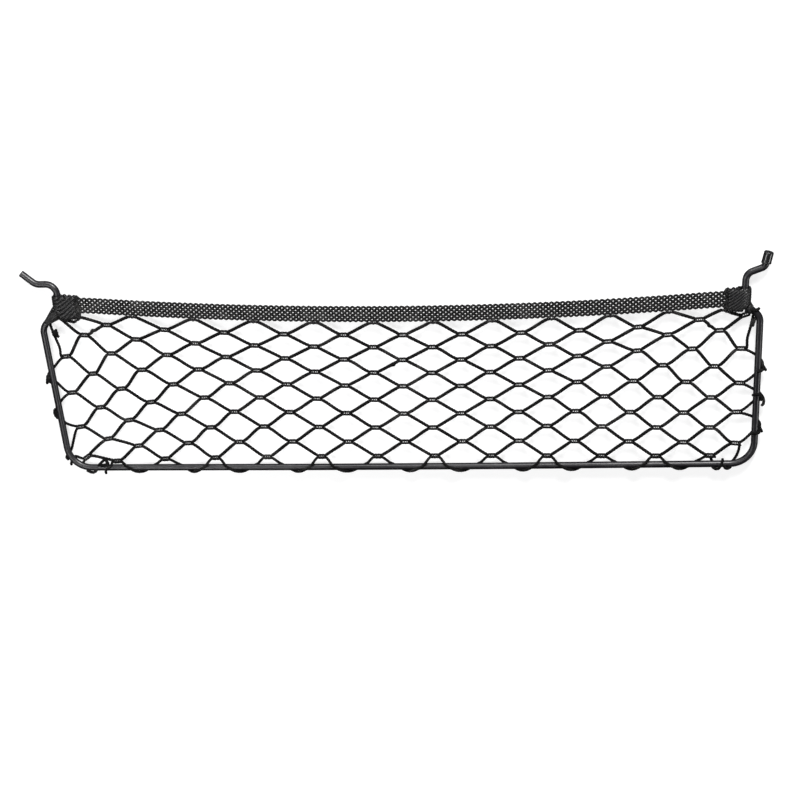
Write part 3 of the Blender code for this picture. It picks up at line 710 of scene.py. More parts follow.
def joint_ways(joints):
    """A joint lies along the line between the middles of its left and right neighbours; a crest follows the
    band."""
    near = {key: {-1: [], 1: []} for key in joints}
    for upper, lower, side, _ in net_bars():
        near[upper][side].append(joints[lower])
        near[lower][-side].append(joints[upper])
    ways = {}
    for key, sides in near.items():
        if key[0] == 0:
            ends = joints[key][0] + np.array((-JOINT_HALF, JOINT_HALF))
            ways[key] = unit(np.array((2 * JOINT_HALF, np.diff(band_bottom(ends))[0])))
        else:
            left, right = (np.mean(sides[side] or [joints[key]], axis=0) for side in (-1, 1))
            ways[key] = unit(right - left)
    ways.update({key: unit(np.array((1, slope))) for key, slope in FAST_SLOPES.items()})
    return ways


JOINTS = net_joints()
WAYS = joint_ways(JOINTS)
print(f"net: {len(JOINTS)} joints, lowest at {min(p[1] for p in JOINTS.values()):.1f} mm")

# %% [markdown]
# ## The cords of the net
#
# The net is ten zig-zag cords, one under another, each fused to the next at every joint, plus an eleventh
# along the bottom. At a joint the two cords run side by side for 9 mm, drawn thin, with a little light
# between them; a bar is a smooth bend from one joint's heading to the next. All ten cords pass 25 joints,
# so one array holds them all.

# %% Sizes of a cord
JOINT_DRAWN = 3.55
JOINT_SPREAD = 1.4
JOINT_THIN = 0.9
JOINT_STATIONS = 12
BAR_STATIONS = 27
BAR_EASE = 0.34
RISING_THICK, FALLING_THICK = 1.38, 1.34
LACE_RADIUS = 1.28
CORD_SIDES = 9
CORD_LOBES = 3
CORD_LAY = 8.4
CORD_RELIEF = 0.1
rng = np.random.default_rng(7)

# Small mishaps of the netting machine: joint above, joint below, share of the bar, sideways shift, swelling.
KINKS = (
    ((1, 1), (2, 0), 0.62, 1.3, 0.3),
    ((1, 11), (2, 11), 0.5, -0.9, 0.15),
    ((3, 6), (4, 5), 0.33, -0.4, 0.5),
)


def cord_keys(cord):
    """The 25 joints that a cord passes from left to right, in its wide row and its narrow row by turns."""
    wide, narrow = (cord, cord + 1) if cord % 2 else (cord + 1, cord)
    return [(narrow, k // 2) if k % 2 else (wide, k // 2) for k in range(2 * WIDE - 1)]


def above(ways):
    return np.stack((-ways[..., 1], ways[..., 0]), -1)


# %% Joints and bars as arrays
def through_joints(keys, levels, count):
    """Along a joint, t runs from -1 to 1. The cord is t x JOINT_DRAWN along and a spread to its side; the
    spread and the cord's thinning both follow (1 - t^4), so that they are full for most of the joint and
    gone at its ends."""
    centres = np.array([JOINTS[key] for key in keys])
    ways = np.array([WAYS[key] for key in keys])
    t = np.linspace(-1, 1, count)
    full = 1 - t**4
    spread = np.asarray(levels, float)[:, None] * (CORD / 2 + (JOINT_SPREAD - CORD / 2) * full)
    along = ways[:, None] * (t * JOINT_DRAWN)[:, None] + above(ways)[:, None] * spread[..., None]
    return lift(centres[:, None] + along), np.broadcast_to(1 + (JOINT_THIN - 1) * full, (len(keys), count))


def between(start, leave, target, arrive, t):
    """A cubic that leaves start along leave and reaches target along arrive: span(3t²-2t³) +
    leave(t³-2t²+t) + arrive(t³-t²), for any number of bars at once."""
    t = t[:, None]
    blend = (target - start)[..., None, :] * (3 * t**2 - 2 * t**3)
    return (start[..., None, :] + blend + leave[..., None, :] * (t**3 - 2 * t**2 + t)
            + arrive[..., None, :] * (t**3 - t**2))


def braided(radius, run, sides, lobes, lay, relief):
    """A cord's surface: radius x (1 + relief x the higher of two sets of ridges that climb round it both
    ways)."""
    angle = np.arange(sides) * 2 * math.pi / sides * lobes
    climb = (2 * math.pi * run / lay * lobes)[..., None]
    ridges = np.maximum(np.cos(angle + climb), np.cos(angle - climb))
    return np.asarray(radius)[..., None] * (1 + relief * (ridges - 0.4))


def zigzag_cords():
    """(paths, radii) of the ten cords: joints and bars laid end to end, with a slight wander in every bar."""
    paths, radii = [], []
    t = np.arange(1, BAR_STATIONS + 1) / (BAR_STATIONS + 1)
    for cord in range(LAST_ROW):
        keys = cord_keys(cord)
        levels = [0 if row == 0 else (1 if row == cord + 1 else -1) for row, _ in keys]
        joint, thin = through_joints(keys, levels, JOINT_STATIONS)
        ways = lift(np.array([WAYS[key] for key in keys]), 0)
        span = joint[1:, 0] - joint[:-1, -1]
        ease = BAR_EASE * np.linalg.norm(span, axis=-1, keepdims=True)
        bar = between(joint[:-1, -1], ways[:-1] * ease, joint[1:, 0], ways[1:] * ease, t)
        beside = lift(above(unit(span[:, :2])), 0)
        wander = rng.normal(0, 0.16, (len(span), 2, 2))
        sway = np.stack((np.sin(math.pi * t), np.sin(2 * math.pi * t)))
        swell = np.zeros((len(span), BAR_STATIONS))
        shift = wander[:, 0] @ sway
        for upper, lower, share, aside, growth in KINKS:
            for k in range(len(span)):
                if {keys[k], keys[k + 1]} == {upper, lower}:
                    place_on = share if keys[k] == upper else 1 - share
                    hump = np.exp(-(((t - place_on) / 0.06) ** 2))
                    shift[k] += aside * hump
                    swell[k] += growth * hump
        bar = bar + shift[..., None] * beside[:, None] + (wander[:, 1] @ sway)[..., None] * UP
        thick = np.where(span[:, 1] > 0, RISING_THICK, FALLING_THICK)[:, None]
        ramp = np.minimum(1, np.minimum(t, 1 - t) / 0.12)
        bar_radius = 1 + (thick - 1) * ramp + swell
        stretch = np.concatenate((joint[:-1], bar), 1).reshape(-1, 3)
        paths.append(np.concatenate((stretch, joint[-1])))
        radii.append(np.concatenate((np.concatenate((thin[:-1], bar_radius), 1).ravel(), thin[-1])))
    return np.array(paths), np.array(radii) * CORD / 2


cord_paths, cord_radii = zigzag_cords()
relief = braided(cord_radii, run_along(cord_paths), CORD_SIDES, CORD_LOBES, CORD_LAY, CORD_RELIEF)
net_cords = piece("net_cords", [(carry(cord_paths, np.broadcast_to(UP, cord_paths.shape), CORD_SIDES,
                                       relief, relief), False)], CORD_YARN, ("net",))
print(f"net: {run_along(cord_paths)[:, -1].sum() / 1000:.2f} m of cord in its ten zig-zags")

# %% [markdown]
# ## The stitches of a joint
#
# What holds two cords together at a joint is their own yarn, which crosses from one to the other four
# times. Between those crossings a little light comes through. We make one small closed loop round both
# cords and set four of them at every joint, leaning by turns to the left and the right.

# %% Loops round the joints
STITCH_PLACES = np.array((-0.72, -0.25, 0.25, 0.72))
STITCH_LEAN = 0.55
STITCH_YARN_RADIUS = 0.36
STITCH_STATIONS, STITCH_SIDES = 12, 5


def stitches(keys, middle, half, deep):
    """A loop's angle f runs once round: half x cos f across the joint, deep x sin f up and down, and a lean
    along the joint that follows cos f and changes side from one stitch to the next."""
    centres = np.array([JOINTS[key] for key in keys])[:, None]
    ways = np.array([WAYS[key] for key in keys])[:, None]
    f = np.arange(STITCH_STATIONS) * 2 * math.pi / STITCH_STATIONS
    lean = STITCH_LEAN * np.array((1, -1, 1, -1))[:, None] * np.cos(f)
    along = (STITCH_PLACES * JOINT_DRAWN)[:, None] + lean
    across = np.broadcast_to(middle + half * np.cos(f), along.shape)
    flat = centres[:, None] + ways[:, None] * along[..., None] + above(ways)[:, None] * across[..., None]
    paths = lift(flat, (ROD_Z + deep * np.sin(f))[:, None]).reshape(-1, STITCH_STATIONS, 3)
    faces = paths - paths.mean(1, keepdims=True)
    radius = np.full((1, 1, 1), STITCH_YARN_RADIUS)
    return carry(paths, faces, STITCH_SIDES, radius, radius, ring=True), True


inner = [key for key in JOINTS if key[0] > 0]
crests = [key for key in JOINTS if key[0] == 0]
joint_stitches = piece("joint_stitches", [stitches(inner, 0, JOINT_SPREAD + 0.85, 0.98)], STITCH_YARN)
crest_stitches = piece("crest_stitches", [stitches(crests, 0.7, 1.9, 1.15)], STITCH_YARN)

# %% [markdown]
# ## Lacing round the rod
#
# Along the bottom and up both sides the net's outermost cords go round the rod and come back to the next
# joint. Each lace has three stretches: from a joint to the rod, half a turn round it, and back. Going round
# is a circle about the rod's axis whose centre slides along the rod at the same time, which makes a short
# piece of a screw line.

# %% A cord that goes round the rod
OUTSIDE = math.radians(105)


def joint_exit(key, side, level):
    """Where the upper (1) or lower (-1) cord leaves a joint's left or right end."""
    way = WAYS[key]
    return lift(JOINTS[key] + way * side * JOINT_DRAWN + above(way) * (CORD / 2 * level))


def landing(spot, run):
    """Angle at which a straight cord from a spot touches down: the sine is the wrap's radius over the
    distance."""
    foot, _, outward = rod_at(run)
    return math.asin(min(1, WRAP_RADIUS / max((foot - spot[:2]) @ outward, WRAP_RADIUS)))


def lace(start, way, run_a, run_b, face, end, end_way, back=False, ease=8):
    """Path and faces of a lace. Angle 0 is in front of the rod (behind when face is -1), 90 degrees is
    outside it. Round the rod a point is foot + radius x sin(angle) outward and radius x cos(angle) up, and
    the foot slides. The lace goes half round the rod, or it turns back outside it and comes back the way it
    went."""
    first, last = -landing(start, run_a), landing(end, run_b)
    if back:
        angle = np.concatenate((np.linspace(first, OUTSIDE, 15), np.linspace(OUTSIDE, -last, 16)[1:]))
        foot, _, outward = rod_at(np.linspace(run_a, run_b, 30))
    else:
        angle = np.linspace(first, math.pi + last, 30)
        foot, _, outward = rod_at(np.interp(angle, (-EDGE_ANGLE, math.pi + EDGE_ANGLE), (run_a, run_b)))
    sine, cosine = np.sin(angle)[:, None], np.cos(angle)[:, None]
    round_rod = np.concatenate((foot + WRAP_RADIUS * sine * outward, ROD_Z + face * WRAP_RADIUS * cosine), -1)
    away = np.concatenate((sine * outward, face * cosine), -1)
    share = np.linspace(0, 1, 14)
    into, onward = unit(round_rod[1] - round_rod[0]), unit(round_rod[-1] - round_rod[-2])
    pull_in = min(0.5 * np.linalg.norm(round_rod[0] - start), ease)
    pull_out = min(0.5 * np.linalg.norm(end - round_rod[-1]), ease)
    end_face = UP * face * (1 if back else -1)
    lines = (between(start, way * pull_in, round_rod[0], into * pull_in, share[:-1]), round_rod,
             between(round_rod[-1], onward * pull_out, end, -end_way * pull_out, share[1:]))
    faces = (UP * face + share[:-1, None] * (away[0] - UP * face), away,
             away[-1] + share[1:, None] * (end_face - away[-1]))
    return np.concatenate(lines), np.concatenate(faces)


def corded(path, faces, radius=LACE_RADIUS, step=0.55, sides=10, relief=CORD_RELIEF, ends=(1, 1)):
    """A braided cord along one path, with its two ends drawn in to a share of their radius."""
    path, faces = even(path, faces, step)
    run = run_along(path)
    shape = np.interp(run, (0, 1.2, max(run[-1] - 1.2, 1.3), run[-1] + 0.1), (ends[0], 1, 1, ends[1]))
    swell = braided(radius * shape, run, sides, CORD_LOBES, CORD_LAY, relief)[None]
    return carry(path[None], faces[None], sides, swell, swell), False


# %% The bottom cord and the side laces
def bottom_cord():
    """The eleventh cord: the lower cord of every last-row joint, and between them a lace round the bottom
    rod."""
    lines, faces = [], []
    for column in range(WIDE - 1):
        key = (LAST_ROW, column)
        sign = -1 if column % 2 else 1
        joint, _ = through_joints([key], [-1], 10)
        lines.append(joint[0])
        faces.append(np.broadcast_to(UP * sign, joint[0].shape))
        if column < WIDE - 2:
            after = (LAST_ROW, column + 1)
            runs = [rod_run((JOINTS[k][0] + way * LEG_REACH, 0)) for k, way in ((key, 1), (after, -1))]
            path, face = lace(joint_exit(key, 1, -1), lift(WAYS[key], 0), *runs, sign,
                              joint_exit(after, -1, -1), -lift(WAYS[after], 0))
            lines.append(path[1:-1])
            faces.append(face[1:-1])
    return corded(np.concatenate(lines), np.concatenate(faces), step=0.6)


def side_laces():
    """The side laces stay behind the rod, and turn back just outside it, where they are knotted."""
    for side, row, meet, _, leave, _ in SIDE_LACES:
        column = 0 if side < 0 else WIDE - 1
        a, b = (row, column), (row + 2, column)
        runs = [rod_run((rod_across(side, up), up)) for up in (meet, leave)]
        yield corded(*lace(joint_exit(a, side, -1), lift(WAYS[a] * side, 0), *runs, -1,
                           joint_exit(b, side, 1), lift(WAYS[b] * side, 0), back=True))


laces = [bottom_cord(), *side_laces()]
lacing = piece("lacing", laces, CORD_YARN)
print("bottom cord and side laces, mm:", [round(float(run_along(grid.mean(2))[0, -1])) for grid, _ in laces])

# %% [markdown]
# ## Knots, tails and frayed ends
#
# Where a lace is made fast it is knotted outside the rod, and its cut tails hook away. Every knot is tied
# by hand and differs from the next, so no formula serves them all: we give a few places that each cord
# passes, and draw a smooth line through them. A cut end of braided cord opens into a short brush of fibres,
# which we fan out with a fixed seed so that every run gives the same.

# %% The brush of a cut end
TAIL_CORD = 1.35


def brush(tip, heading, count=12, length=0.8, spread=0.6):
    """Fibres of a cut end: each starts inside the end and bends outwards as the square of its own length."""
    heading = unit(heading)
    side = unit(np.cross(heading, UP + 0.01))
    turn = rng.uniform(0, 2 * math.pi, count)
    out = np.cos(turn)[:, None] * side + np.sin(turn)[:, None] * np.cross(heading, side)
    reach = rng.uniform(0.5, 1, count)[:, None, None] * length
    s = np.linspace(0, 1, 5)[:, None]
    root = tip - 0.4 * heading + out * rng.uniform(0.1, 0.75, (count, 1))
    paths = root[:, None] + reach * (s * heading + spread * s**2 * out[:, None])
    thin = (0.13 * (1 - 0.7 * s))[None]
    return carry(paths, np.broadcast_to(out[:, None], paths.shape), 4, thin, thin), False


# %% A loose end by a few of its places
def through(places):
    """A smooth line through a few places: between two of them it is the cubic that leaves and arrives along
    half the line between their neighbours."""
    slope = np.gradient(places, axis=0)
    runs = between(places[:-1], slope[:-1], places[1:], slope[1:], np.linspace(0, 1, 12)[:-1])
    return np.concatenate((runs.reshape(-1, 3), places[-1:]))


def loose(places, radius=TAIL_CORD, ends=(0.8, 0.8), start=()):
    """A cord through places given as across, up and height over the rod's middle, with its last end cut."""
    places = np.array(places, float) + (0, 0, ROD_Z)
    path = through(np.concatenate((start, places)) if len(start) else places)
    faces = np.broadcast_to(unit(np.array((0.15, 0.1, 1.0))), path.shape)
    return [corded(path, faces, radius, ends=ends), brush(path[-1], path[-1] - path[-2])]


# Two loose ends at every side knot, from the photo.
SIDE_KNOTS = (
    ((-321.8, 94.0, 2.0), (-324.3, 92.4, 1.2), (-325.2, 89.5, 0.6), (-325.8, 86.5, 0.5), (-326.2, 84.3, 0.3)),
    ((-321.9, 91.8, 2.7), (-323.6, 90.0, 2.0), (-323.9, 87.8, 1.3), (-322.9, 86.2, 0.7), (-321.8, 85.4, -1.0)),
    ((-321.6, 59.6, 0.8), (-322.6, 57.8, 0.9), (-322.7, 55.3, 1.0), (-321.8, 52.3, 1.0), (-320.4, 50.2, 0.6)),
    ((-320.2, 57.4, 2.7), (-321.2, 55.0, 2.5), (-320.7, 52.0, 2.3), (-319.6, 50.4, 1.6)),
    ((320.4, 97.5, 0.5), (322.0, 94.6, 1.0), (323.7, 91.4, 1.0), (325.4, 88.4, 0.6)),
    ((317.2, 88.9, 3.9), (319.8, 88.7, 3.3), (322.0, 89.4, 2.0), (323.4, 90.4, 1.2)),
    ((318.3, 67.6, 2.6), (320.8, 66.6, 1.7), (322.8, 63.2, 1.2), (323.4, 59.4, 1.0), (322.4, 56.2, 0.8),
     (321.2, 56.6, 0.6)),
    ((313.8, 65.6, 1.2), (315.0, 67.0, 3.6), (317.4, 67.4, 4.1), (319.8, 66.2, 2.8), (321.0, 63.4, 1.9),
     (321.0, 60.6, 1.4)),
    ((318.0, 38.6, 0.5), (319.5, 35.8, 1.0), (320.8, 33.0, 1.0), (322.0, 30.6, 0.8)),
    ((312.6, 28.4, 0.6), (313.6, 30.0, 3.2), (315.9, 30.9, 4.2), (318.4, 30.4, 3.0), (319.6, 31.8, 1.8),
     (319.2, 34.6, 1.0)),
    ((-313.4, 10.8, 0.5), (-315.2, 9.7, 0.8), (-316.8, 8.3, 0.6)),
)

lace_knots = piece("lace_knots", [grid for places in SIDE_KNOTS for grid in loose(places)], CORD_YARN)

# %% The corner ties
# For every tie: its joint, the cord's level there, the places that it passes, and the loose ends about it.
TIES = {
    "tie_top_left": ((3, 0), 1, ((-309.7, 119.5, 0), (-311.7, 127.5, 0.3), (-313.4, 133.8, 0.5), (-315.2, 138.6, -0.8),
                                 (-317.6, 142.6, -4.1), (-320.2, 146.0, -4.0)), (
        ((-314.2, 136.0, 1.4), (-312.8, 134.8, 2.0), (-311.2, 136.2, 1.6), (-309.6, 137.4, 1.2)),
        ((-313.6, 132.0, 1.6), (-311.8, 133.4, 2.2), (-310.2, 131.8, 1.6), (-308.3, 130.2, 1.2)),
        ((-313.8, 135.2, 1.0), (-312.0, 135.2, 2.2), (-310.4, 134.6, 2.0), (-309.4, 132.4, 1.4)),
        ((-314.0, 133.0, 1.0), (-312.2, 132.8, 2.0), (-310.6, 134.0, 2.4), (-309.2, 135.6, 1.2)),
    )),
    "tie_top_right": ((3, 12), 1, ((309.4, 118.5, 0), (311.8, 127.5, 0), (313.6, 134.6, -0.6), (314.8, 139.0, -3.6),
                                   (316.4, 141.8, -4.2), (318.6, 144.0, -3.4)), (
        ((318.2, 139.4, -1.0), (316.0, 136.0, 0.8), (314.5, 132.2, 1.2), (313.9, 129.6, 1.0)),
        ((312.4, 145.6, 3.8), (315.2, 145.0, 3.4), (317.8, 145.2, 2.2), (320.0, 146.4, 1.2)),
    )),
    "tie_bottom_left_outer": ((9, 0), -1, ((-302.2, 4.6, -1.2), (-303.6, 2.2, -4.2), (-305.0, -0.4, -3.0)), (
        ((-311.8, 7.6, 0.5), (-313.2, 5.4, 0.8), (-313.6, 2.8, 0.6)),
    )),
    "tie_bottom_left_inner": ((10, 0), -1, ((-274.8, 2.6, 2.6), (-277.2, 0.8, 4.2), (-279.6, -1.4, 3.6),
                                            (-280.9, -4.0, 1.6), (-281.0, -6.2, 0.8)), (
        ((-288.0, 1.8, 1.0), (-285.4, 4.2, 1.4), (-282.4, 7.0, 1.5), (-280.6, 8.2, 1.5), (-279.0, 6.4, 1.3),
         (-277.8, 4.2, 1.2), (-278.6, 2.2, 2.2)),
        ((-285.0, 1.8, 1.6), (-282.6, 3.0, 2.0), (-279.8, 3.6, 2.0), (-278.4, 5.0, 1.6)),
        ((-299.2, -2.0, 1.6), (-296.4, -3.8, 1.4), (-293.4, -4.8, 1.0), (-290.8, -3.6, 1.4), (-289.4, -1.8, 2.4)),
    )),
    "tie_bottom_right_inner": ((10, 11), -1, ((277.4, 6.2, -0.5), (277.4, 3.2, -2.6), (278.6, 0.0, -4.2),
                                              (280.0, -3.0, -2.4), (281.8, -4.6, 0.4), (284.0, -3.2, 2.6),
                                              (286.0, 0.4, 3.6), (287.2, 3.4, 2.0), (287.6, 5.6, 1.4)), (
        ((278.0, -1.8, 2.4), (280.6, -4.2, 1.6), (283.4, -4.4, 1.2), (285.4, -1.6, 2.8)),
    )),
    "tie_bottom_right_outer": ((9, 12), -1, ((302.2, 17.6, 0), (301.6, 13.6, 0), (299.8, 8.4, 0), (297.6, 3.8, -1.6),
                                             (296.0, 0.4, -4.2), (294.6, -2.6, -2.6), (292.4, -4.4, 0.4),
                                             (289.8, -3.2, 2.6), (288.2, -0.4, 3.9)), (
        ((294.8, -1.4, 2.4), (292.6, -3.8, 1.5), (290.0, -3.9, 1.4), (288.4, -1.2, 2.6)),
    )),
}


def tie(name, key, level, places, ends):
    """A cord's last end runs on from its joint through its places; its loose ends and its knot lie about
    it."""
    side = -1 if key[1] == 0 else 1
    exit_at = joint_exit(key, side, level)
    start = np.stack((exit_at, exit_at + 1.5 * lift(WAYS[key] * side, 0)))
    grids = loose(places, LACE_RADIUS, (1, 0.8), start)
    print(f"{name}: {run_along(grids[0][0].mean(2))[0, -1]:.0f} mm from its joint on, "
          f"and {len(ends)} loose pieces")
    for end in ends:
        grids += loose(end)
    return piece(name + "_cord", grids, CORD_YARN, (name,))


ties = [tie(name, *row) for name, row in TIES.items()]

# %% [markdown]
# ## The braided band
#
# Seven flat strands make the band. Each runs slantwise to one edge, turns there and runs back, and on its
# way it goes over one strand and under the next. That is a triangle wave across the band, with the strands
# a seventh of a wave apart, and it leaves the zig-zag edge and the staggered pin-holes of the real band.
# Both ends go round a neck of the rod and are sewn down, so the braid simply follows a longer line: back of
# the left neck, round it, along the front to the right neck, and round that. A third layer of the same
# braid lies inside each doubled end. Wider strands would close the pin-holes more, but two of them lie over
# each other everywhere, and their area has to fit the flat size.

# %% The line that the braid follows
STRANDS = 7
TOOTH = 4.9
STRAND_HALF, STRAND_THICK = 1.1, 0.24
EDGE_INSET = 0.55
BRAID_RELIEF = 0.75
LOOP_RADIUS = 4.45
LAYER = 1.05
SEAMS = {-1: 286.5, 1: 290.5}
NECK_X = {side: float(rod_across(side, FOOT_UP[side] + 6)) for side in (-1, 1)}
BAND_STEP = 0.75


def band_line():
    """Across and up-off-the-rod-plane places of the braid's middle: flat along the front, lifted over its
    own back layer at the seams, a straight run from there to each neck, a circle round it and a straight
    run back behind."""
    x = np.linspace(-SEAMS[-1], SEAMS[1], 600)
    seam = np.where(x < 0, SEAMS[-1], SEAMS[1])
    front = np.stack((x, LAYER * np.clip((abs(x) - seam + 14) / 12, 0, 1)), -1)
    lines = {}
    for side in (-1, 1):
        touch = math.atan2(LOOP_RADIUS - LAYER, abs(NECK_X[side]) - SEAMS[side])
        angle = np.linspace(-touch, math.pi + touch, 60)
        arc = np.stack((NECK_X[side] + side * LOOP_RADIUS * np.sin(angle), LOOP_RADIUS * np.cos(angle)), -1)
        back = np.linspace(arc[-1], (side * SEAMS[side], -LAYER), 30)[1:]
        out = np.linspace((side * SEAMS[side], LAYER), arc[0], 30)[1:-1]
        lines[side] = np.concatenate((out, arc, back))
    return np.concatenate((lines[-1][::-1], front, lines[1]))


LINE = band_line()
LINE_RUN = run_along(LINE)
LINE_SLOPE = unit(np.stack([np.gradient(LINE[:, axis], LINE_RUN) for axis in (0, 1)], -1))
FRONT = slice(*np.flatnonzero(LINE_SLOPE[:, 0] > 0.9)[[0, -1]])
print(f"band: {LINE_RUN[-1]:.0f} mm of braid, "
      f"{LINE_RUN[-1] - SEAMS[-1] - SEAMS[1]:.0f} mm of it in the two loops")


# %% Places on the band
def front_run(x):
    """How far along its line the band's front is at one place across."""
    return np.interp(x, LINE[FRONT, 0], LINE_RUN[FRONT])


def on_band(run, across, lifted):
    """A place on the band and its face, from the distance along the line, the share of the width from -1 to
    1, and the height off the middle. Near a neck, each height follows the neck's own lean."""
    x, z = (np.interp(run, LINE_RUN, LINE[:, axis]) for axis in (0, 1))
    slope = unit(np.stack([np.interp(run, LINE_RUN, LINE_SLOPE[:, axis]) for axis in (0, 1)], -1))
    low, high = band_edges(x)
    y = (low + high) / 2 + across * ((high - low) / 2 - EDGE_INSET)
    lean = np.zeros(y.shape)
    for side, neck in NECK_X.items():
        near = np.clip((x * side - abs(neck) + 8) / 6, 0, 1)
        lean = lean + near * (rod_across(side, np.maximum(y, FOOT_UP[side] + 3)) - neck)
    face = np.stack((-slope[..., 1], np.zeros(slope.shape[:-1]), slope[..., 0]), -1)
    face = np.broadcast_to(face, (*y.shape, 3))
    middle = np.stack((x + lean, y, np.broadcast_to(ROD_Z + z, y.shape)), -1)
    return middle + np.broadcast_to(lifted, y.shape)[..., None] * face, face


# %% Seven strands over and under
def strands(u, shift=0.0, sink=0.0):
    """Strand k at distance u: phase = 2 pi (u / period - k / 7). It lies at 2/pi x asin(sin phase) across
    the width, and rises and sinks with every crossing: seven times the phase, turned over at each edge,
    where it takes the longer bend to the other face."""
    period = STRANDS * TOOTH
    phase = 2 * math.pi * (u / period - (np.arange(STRANDS)[:, None] + shift) / STRANDS)
    near_edge = np.mod(phase, math.pi) - math.pi / 2
    across = np.arcsin(0.996 * np.sin(phase)) / math.asin(0.996)
    over = np.where(abs(near_edge) < math.pi / 7, -np.sin(3.5 * near_edge),
                    np.sign(near_edge) * np.cos(7 * near_edge))
    paths, faces = on_band(u, across, BRAID_RELIEF * over - sink)
    angle = np.arange(8) * 2 * math.pi / 8
    ply = 1 + 0.09 * np.cos(2 * angle + 2 * math.pi * run_along(paths)[..., None] / 2.6)
    return carry(paths, faces, 8, STRAND_THICK * ply, STRAND_HALF * ply), False


THIRD_LAYERS = ((-303, -SEAMS[-1]), (SEAMS[1], 304))
doubled = [strands(np.arange(front_run(a), front_run(b), BAND_STEP), 0.5, 0.75) for a, b in THIRD_LAYERS]
band = piece("braided_band", [strands(np.arange(0, LINE_RUN[-1], BAND_STEP)), *doubled], BAND_YARN, ("band",))

# %% [markdown]
# ## The doubled ends of the band
#
# At each end the braid goes round the neck and comes back on itself with a third layer between, so no light
# comes through. Bold slanting ribs lie over it there and go on round the neck. From the foot of the neck
# strands fan down over the bend of the rod, on the left as far as the shoulder, and on the right only a
# little way.

# %% Ribs over the ends
RIB_PITCH = {-1: 4.9, 1: 3.9}
RIB_REACH = 26.0
RIB_SHARE = 0.296
RIB_THICK = 0.85
RIB_LIFT = 0.28
COVER_RADIUS = 4.0
COVER_END = 3.3


def end_ribs(side):
    """A rib climbs from the lower edge to the upper one while it runs RIB_REACH along the band, and dips at
    both edges. One starts every RIB_PITCH; those that would pass the seam or the braid's end are cut
    short."""
    if side < 0:
        first, last = 0.0, front_run(-SEAMS[-1] - 3.5)
    else:
        first, last = front_run(SEAMS[1] + 3.5), LINE_RUN[-1]
    start = np.arange(first - RIB_REACH, last, RIB_PITCH[side])
    low = np.clip((first - start) / RIB_REACH, 0, 1)
    high = np.clip((last - start) / RIB_REACH, 0, 1)
    keep = high - low > 0.12
    start, low, high = start[keep, None], low[keep, None], high[keep, None]
    share = low + (high - low) * np.linspace(0, 1, 34)
    middle = 0.96 * (2 * share - 1)
    ends = np.sin(math.pi * np.linspace(0, 1, 34)) ** 0.3
    paths, faces = on_band(start + share * RIB_REACH, middle, RIB_LIFT * ends - 0.5 * middle**8)
    angle = np.arange(8) * 2 * math.pi / 8
    ply = 1 + 0.08 * np.cos(2 * angle + 2 * math.pi * run_along(paths)[..., None] / 2.4)
    return carry(paths, faces, 8, RIB_THICK * ply, RIB_SHARE * RIB_PITCH[side] * ply), False


# %% Fans over the bends of the rod
def fan(inner_start, outer_start, inner_end, outer_end, face, count=7):
    """Strands from one line to another, laid over the rod: their height is that of a tube round it, the
    square root of radius² - distance², and a thin layer beyond it. The tube and the strands thin out
    towards the second line."""
    share = np.linspace(0, 1, count)[:, None, None]
    t = np.linspace(0, 1, 26)[:, None]
    start = np.array(inner_start) + share * (np.array(outer_start) - inner_start)
    end = np.array(inner_end) + share * (np.array(outer_end) - inner_end)
    flat = start + t * (end - start)
    dense = rod_at(np.arange(0, ROD_RUN[-1], 0.5))[0]
    away = flat[..., None, :] - dense
    nearest = np.take_along_axis(away, np.argmin((away**2).sum(-1), -1)[..., None, None], -2)[..., 0, :]
    tube = COVER_RADIUS + (COVER_END - COVER_RADIUS) * t[:, 0]
    height = np.sqrt(np.maximum(tube**2 - (nearest**2).sum(-1), 0.9**2))
    paths = lift(flat, (ROD_Z + face * height)[..., None])
    faces = unit(lift(nearest, (face * height)[..., None]))
    thin = (1 - 0.5 * t**2)[None]
    return carry(paths, faces, 8, 0.8 * thin, 1.25 * thin), False


fans = [fan(*corners, face) for face in (1, -1) for corners in (
    ((-302.8, 149.2), (-310.2, 158.8), (-317.4, 142.6), (-319.4, 146.2)),
    ((307.4, 143.4), (312.0, 151.0), (312.6, 141.2), (314.6, 147.2)),
)]
band_ends = piece("band_ends", [end_ribs(-1), end_ribs(1), *fans], RIB_YARN)

# %% [markdown]
# ## Floor and light
#
# The photograph is a bright studio shot: white all round, with only a breath of shadow under the bottom
# rod. The paper itself glows nearly to white, and a wide soft light hangs overhead. Five smaller lights
# stand behind, in front and to the sides, each where some stretch of the black rod mirrors it, which is
# what shows how round the rod is.

# %% Floor
FLOOR_HALF = 4.0


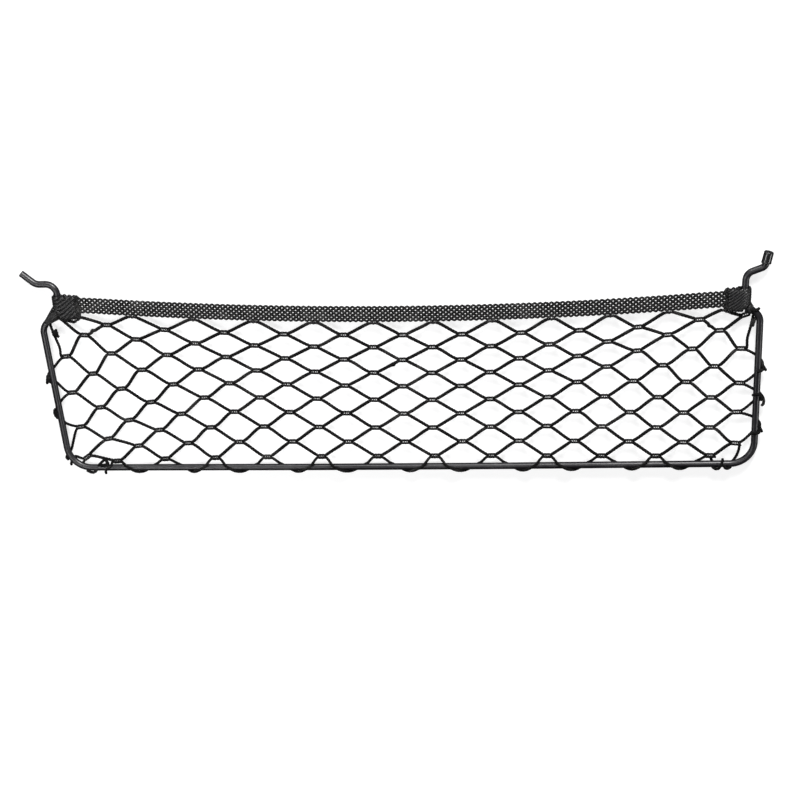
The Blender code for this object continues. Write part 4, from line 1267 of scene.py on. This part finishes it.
def studio_paper(colour, glow):
    """White paper that the camera sees lit to full white. What it sends back to the rod is far weaker, as
    if dark cards stood low round the set, so that the black rod keeps its dark edges."""
    material, tree, shader = new_finish("studio_paper", 0.9)
    seen = add_node(tree, "ShaderNodeLightPath").outputs["Is Camera Ray"]
    tree.links.new(blend_colour(tree, seen, (0.03, 0.03, 0.03), colour), shader.inputs["Base Color"])
    tree.links.new(blend_colour(tree, seen, (0, 0, 0), (1, 1, 1)), shader.inputs["Emission Color"])
    shader.inputs["Emission Strength"].default_value = glow
    return material


floor_mesh = bpy.data.meshes.new("floor")
corners = np.array(((-1, -1, 0), (1, -1, 0), (1, 1, 0), (-1, 1, 0))) * FLOOR_HALF
floor_mesh.from_pydata(corners, [], [(0, 1, 2, 3)])
floor_mesh.materials.append(studio_paper((0.4, 0.4, 0.403), 0.73))
floor = bpy.data.objects.new("floor", floor_mesh)
bpy.context.scene.collection.objects.link(floor)


# %% Lights
def soft_light(name, width, height, power, spot, aim=(0, 0, 0)):
    """A rectangular light at a spot, turned so that its own -Z looks at the aim."""
    light = bpy.data.lights.new(name, "AREA")
    light.shape = "RECTANGLE"
    light.size, light.size_y = width, height
    light.energy = power
    thing = bpy.data.objects.new(name, light)
    back = unit(np.array(spot, float) - aim)
    right = unit(np.cross((0, 1, 0.001), back))
    pose = np.eye(4)
    pose[:3, :3] = np.stack((right, np.cross(back, right), back), axis=1)
    pose[:3, 3] = spot
    thing.matrix_world = Matrix(pose.tolist())
    bpy.context.scene.collection.objects.link(thing)
    return thing


soft_light("overhead", 1.2, 0.6, 5, (-0.1, 0.3, 1.9))
soft_light("back_box", 1.6, 0.4, 20, (-0.1, 1.5, 0.7))
soft_light("pin_box", 0.45, 0.35, 30, (0.5, 1.15, 0.6), (-0.33, 0.09, 0))
soft_light("left_box", 0.3, 0.3, 5, (-0.8, 0.0, 1.05))
soft_light("front_box", 0.12, 0.3, 0.9, (-0.34, -0.2, 0.58), (-0.32, 0, 0))
soft_light("right_box", 0.3, 0.35, 4.5, (1.45, -0.6, 0.68))

world = bpy.data.worlds.new("white_room")
bpy.context.scene.world = world
world.use_nodes = True
world.node_tree.nodes["Background"].inputs["Color"].default_value = (1, 1, 1, 1)
world.node_tree.nodes["Background"].inputs["Strength"].default_value = 0.012
bpy.context.scene.view_settings.view_transform = "Standard"
